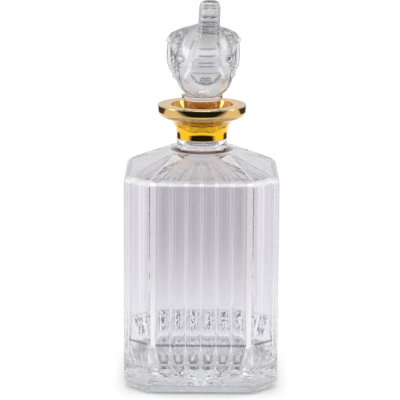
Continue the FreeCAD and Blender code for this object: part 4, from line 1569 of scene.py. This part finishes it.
print("middle of the trunk's tip in mm:", trunk_station(1.0)[0].round(1).tolist())

# %% [markdown]
# Each ear is a cupped plate that sweeps back from the side of the skull. It has a rolled rim, soft upright
# folds and a knob at its upper corner. The line where it meets the face is crinkled.

# %% Ears
EAR_SWEEP = math.radians(68)
EAR_ROOT = (16.6, 1.0)
EAR_MIDDLE = (2.5, 22.6)
EAR_RADII = (11.0, 18.0)
EAR_LOBE = 15.5
EAR_FULLNESS = 2.9
EAR_EDGE = 1.2
EAR_TAPER = 0.014
EAR_CUP = 0.012
EAR_CUP_MIDDLE = 4.0
EAR_HALF_THICKNESS = 1.35
RIM_START = 3.6
RIM_RUN = 2.4
RIM_SWELL = 0.65
FOLD_DEPTH = 0.1
FOLD_WAVES = (1.25, 0.10)
EAR_KNOB = ((21.3, 7.5, 34.6), (3.0, 4.2, 3.0))
KNOB_FILLET = 1.2
HINGE_WIDTH = 1.0
HINGE_BACK = (8.0, 0.8)
CRINKLE_WAVES = (1.5, 0.8, 0.9)


def ear(p):
    """Both ears, folded onto +X."""
    y = p[..., 1] - EAR_ROOT[1]
    height = p[..., 2] - EAR_MIDDLE[1]
    x = np.abs(p[..., 0]) - EAR_ROOT[0] + EAR_TAPER * np.minimum(height, 0) ** 2
    along = x * math.cos(EAR_SWEEP) + y * math.sin(EAR_SWEEP)
    aside = y * math.cos(EAR_SWEEP) - x * math.sin(EAR_SWEEP)
    aside = aside + EAR_CUP * (along - EAR_CUP_MIDDLE) ** 2
    u = np.abs((along - EAR_MIDDLE[0]) / EAR_RADII[0])
    v = np.abs(height / np.where(height > 0, EAR_RADII[1], EAR_LOBE))
    outline = ((u**EAR_FULLNESS + v**EAR_FULLNESS) ** (1 / EAR_FULLNESS) - 1) * min(EAR_RADII)
    rim = np.clip((outline + RIM_START) / RIM_RUN, 0, 1)
    half_thickness = EAR_HALF_THICKNESS + RIM_SWELL * rim * rim * (3 - 2 * rim)
    fold = np.sin(FOLD_WAVES[0] * along + FOLD_WAVES[1] * height)
    half_thickness = half_thickness + FOLD_DEPTH * fold * (1 - rim)
    edge = np.stack((outline + EAR_EDGE, np.abs(aside) - half_thickness + EAR_EDGE), axis=-1)
    outside = np.linalg.norm(np.maximum(edge, 0), axis=-1)
    plate = outside + np.minimum(edge.max(axis=-1), 0) - EAR_EDGE
    return weld(plate, ellipsoid(mirrored(p), *EAR_KNOB), KNOB_FILLET)


def hinge(p, face_distance, ear_distance):
    """How close each point lies to the line where an ear meets the face, from 0 to 1."""
    near = np.exp(-(face_distance**2 + ear_distance**2) / (2 * HINGE_WIDTH**2))
    return near * before(p[..., 1], *HINGE_BACK)


def crinkle(p):
    """A slow ripple along the ear's root, from -1 to 1."""
    up, back, slow = CRINKLE_WAVES
    return np.sin(up * p[..., 2] + back * p[..., 1]) * np.cos(slow * p[..., 2])


print("the ears' knobs reach aside to", round(EAR_KNOB[0][0] + EAR_KNOB[1][0], 1), "mm")

# %% [markdown]
# The mouth is a half-moon cut under the trunk, with a small tongue in it, and an eye bulges on each side of
# the face. A flat seat is cut under the head for the stem.

# %% Mouth and eyes
MOUTH_LINE = 16.6
MOUTH_ROUND = 10.1
MOUTH_HALF = 9.5
MOUTH_BACK = -17.5
TONGUE = ((1.6, -17.4, 11.9), (1.8, 2.0, 1.9))
EYE = ((16.0, -10.0, 24.6), (1.9, 2.2, 1.7))
SEAT_RIM = 13.2


def mouth(p):
    """Half-moon opening: inside a round, under the lip line and in front of the throat."""
    centre = MOUTH_LINE + math.sqrt(MOUTH_ROUND**2 - MOUTH_HALF**2)
    round_part = np.hypot(p[..., 0], p[..., 2] - centre) - MOUTH_ROUND
    return np.maximum(np.maximum(round_part, p[..., 2] - MOUTH_LINE), p[..., 1] - MOUTH_BACK)


def tongue(p):
    return ellipsoid(mirrored(p), *TONGUE)


def eye(p):
    return ellipsoid(mirrored(p), *EYE)


def stem_seat(p):
    """Flat seat for the stem's flange, under which the jaw hangs a little in front."""
    return np.maximum(p[..., 2], np.hypot(p[..., 0], p[..., 1]) - SEAT_RIM)


print("the mouth is", 2 * MOUTH_HALF, "mm wide")

# %% [markdown]
# Shallow lines are pressed beside the trunk's root, down the ear's front edge and round under the chin. Then
# all the forms are welded in order, from the skull to the small tongue, and the seat for the stem is cut
# last. The same distances say how dark each crease is, and the tint follows that mark.

# %% Face lines and the whole head
# Ends of the lines on each side of the face, across and up.
BROW_LINES = [((7.2, 37.0), (9.6, 32.0)), ((13.2, 39.0), (16.4, 33.0)), ((16.4, 33.0), (18.4, 25.5))]
CHIN_POINTS = [(0.0, -0.4), (4.6, 0.4), (9.5, 2.1), (13.7, 5.8), (16.2, 12.2), (17.4, 17.0)]
FACE_LINES = BROW_LINES + list(zip(CHIN_POINTS, CHIN_POINTS[1:]))
FACE_LINE_BACK = 1.0
NO_LINE = 9.0
TRUNK_FILLET = 3.0
EAR_FILLET = 3.0
EAR_FILLET_CUT = 2.0
EAR_FRONT = (6.0, 1.0)
HINGE_DEPTH = 0.35
CRINKLE_DEPTH = 0.15
EYE_FILLET = 0.5
SOCKET_LINE = (0.9, 0.5)
SOCKET_DEPTH = 0.4
FACE_LINE_WIDTH = 0.7
FACE_LINE_DEPTH = 0.35
MOUTH_EASE = 0.6
TONGUE_FILLET = 0.4
SEAT_EASE = 0.3
LIP_MARK = (0.0, 0.7)
LIP_FRONT = (MOUTH_BACK - 1.5, 0.3)
TONGUE_MARK = (0.15, 0.35)
SOCKET_MARK = (0.6, 0.5)
FACE_LINE_MARK = (0.0, 0.6)
ROOT_DARKNESS = (0.65, 0.35)
TONGUE_DARKNESS = 0.9
SOCKET_DARKNESS = 0.9
FACE_LINE_DARKNESS = 0.8


def face_line(p):
    """Distance to the nearest of the lines on the front of the face."""
    spot = mirrored(p)[..., (0, 2)]
    nearest = np.full(p.shape[:-1], NO_LINE)
    for start, end in np.array(FACE_LINES):
        run = end - start
        share = np.clip((spot - start) @ run / (run @ run), 0, 1)
        nearest = np.minimum(nearest, np.linalg.norm(spot - start - share[..., None] * run, axis=-1))
    return np.where(p[..., 1] < FACE_LINE_BACK, nearest, NO_LINE)


def head_field(p):
    """Distance to the head's surface in mm, negative inside, before the stopper is turned."""
    face_form = face(p)
    ear_form = ear(p)
    form = weld(face_form, trunk(p) + CREASE_DEPTH * trunk_creases(p), TRUNK_FILLET)
    fillet = EAR_FILLET - EAR_FILLET_CUT * before(p[..., 1], *EAR_FRONT)
    root_depth = HINGE_DEPTH + CRINKLE_DEPTH * crinkle(p)
    form = weld(form, ear_form, fillet) + root_depth * hinge(p, face_form, ear_form)
    form = weld(form, eye(p), EYE_FILLET) + SOCKET_DEPTH * line_at(eye(p), *SOCKET_LINE)
    form = form + FACE_LINE_DEPTH * line_at(face_line(p), 0.0, FACE_LINE_WIDTH)
    form = carve(form, mouth(p), MOUTH_EASE)
    form = weld(form, tongue(p), TONGUE_FILLET)
    return carve(form, stem_seat(p), SEAT_EASE)


def fold_mark(p):
    """Darkness of the creases: 1 in the sharpest folds, 0 on the open surface."""
    lip = line_at(mouth(p), *LIP_MARK) * before(p[..., 1], *LIP_FRONT)
    tongue_edge = TONGUE_DARKNESS * line_at(tongue(p), *TONGUE_MARK)
    socket = SOCKET_DARKNESS * line_at(eye(p), *SOCKET_MARK)
    root = hinge(p, face(p), ear(p)) * (ROOT_DARKNESS[0] + ROOT_DARKNESS[1] * crinkle(p))
    pressed = FACE_LINE_DARKNESS * line_at(face_line(p), *FACE_LINE_MARK)
    folds = [lip, tongue_edge, socket, root, pressed, trunk_creases(p)]
    return np.clip(np.max(folds, axis=0), 0, 1)


print("lines on each side of the face:", len(FACE_LINES))

# %% [markdown]
# The distance is measured on a grid of small cubes, and OpenVDB turns the surface where it is zero into
# quads. Metaballs could do that too, but they round off thin folds. Here each point is pulled back onto the
# exact surface, and a light smoothing stands for fire polishing. Last, the head is turned and set a little
# aside, as it is glued on the real stopper.

# %% Head surface
VOXEL = 0.44
FIRE_POLISH = 3
HEAD_CORNER = np.array((-25.0, -30.0, -5.0))
HEAD_SPAN = np.array((50.0, 56.0, 72.0))
FIELD_REACH = 3 * VOXEL
PULL_TURNS = 3
PULL_STEP = 0.02
PULL_LIMIT = 0.3
LEAST_SLOPE = 0.05
SEAT_REACH = 12.8
POLISH = {"factor": 0.5, "use_axis_x": True, "use_axis_y": True, "use_axis_z": True}


def pulled_to_surface(points):
    """Moves points along the field's slope until they lie on its surface."""
    for _ in range(PULL_TURNS):
        value = head_field(points)
        steps = PULL_STEP * np.eye(3)
        rises = [head_field(points + step) - head_field(points - step) for step in steps]
        slope = np.stack(rises, axis=-1) / (2 * PULL_STEP)
        square = np.maximum((slope**2).sum(axis=-1), LEAST_SLOPE)
        move = np.clip(value / square, -PULL_LIMIT, PULL_LIMIT)
        points = points - move[:, None] * slope
    return points


def make_head():
    counts = np.ceil(HEAD_SPAN / VOXEL).astype(int)
    axes = [HEAD_CORNER[k] + VOXEL * np.arange(counts[k]) for k in range(3)]
    samples = np.stack(np.meshgrid(*axes, indexing="ij"), axis=-1)
    grid = openvdb.FloatGrid(FIELD_REACH)
    grid.copyFromArray(np.clip(head_field(samples), -FIELD_REACH, FIELD_REACH).astype(np.float32))
    points, quads = grid.convertToQuads(0.0)
    points = pulled_to_surface(HEAD_CORNER + VOXEL * np.array(points, float))
    on_seat = np.hypot(points[:, 0], points[:, 1]) < SEAT_REACH
    points[on_seat, 2] = np.maximum(points[on_seat, 2], 0.0)
    folds = fold_mark(points)
    turn = Matrix.Rotation(STOPPER_TURN, 3, "Z")
    points = points @ np.array(turn).T + np.array((GLUED_ASIDE, 0.0, HEAD_BASE))
    mesh = bpy.data.meshes.new("head_surface")
    mesh.from_pydata((points * MM).tolist(), [], quads.tolist())
    attribute = mesh.attributes.new(CREASE_MARK, "FLOAT", "POINT")
    attribute.data.foreach_set("value", folds.astype(np.float32))
    bm = bmesh.new()
    bm.from_mesh(mesh)
    bpy.data.meshes.remove(mesh)
    for _ in range(FIRE_POLISH):
        bmesh.ops.smooth_vert(bm, verts=bm.verts, **POLISH)
    return bm


finished_piece(
    "crystal_elephant_head", make_head(), figure_crystal, "elephant_head", "stopper"
)
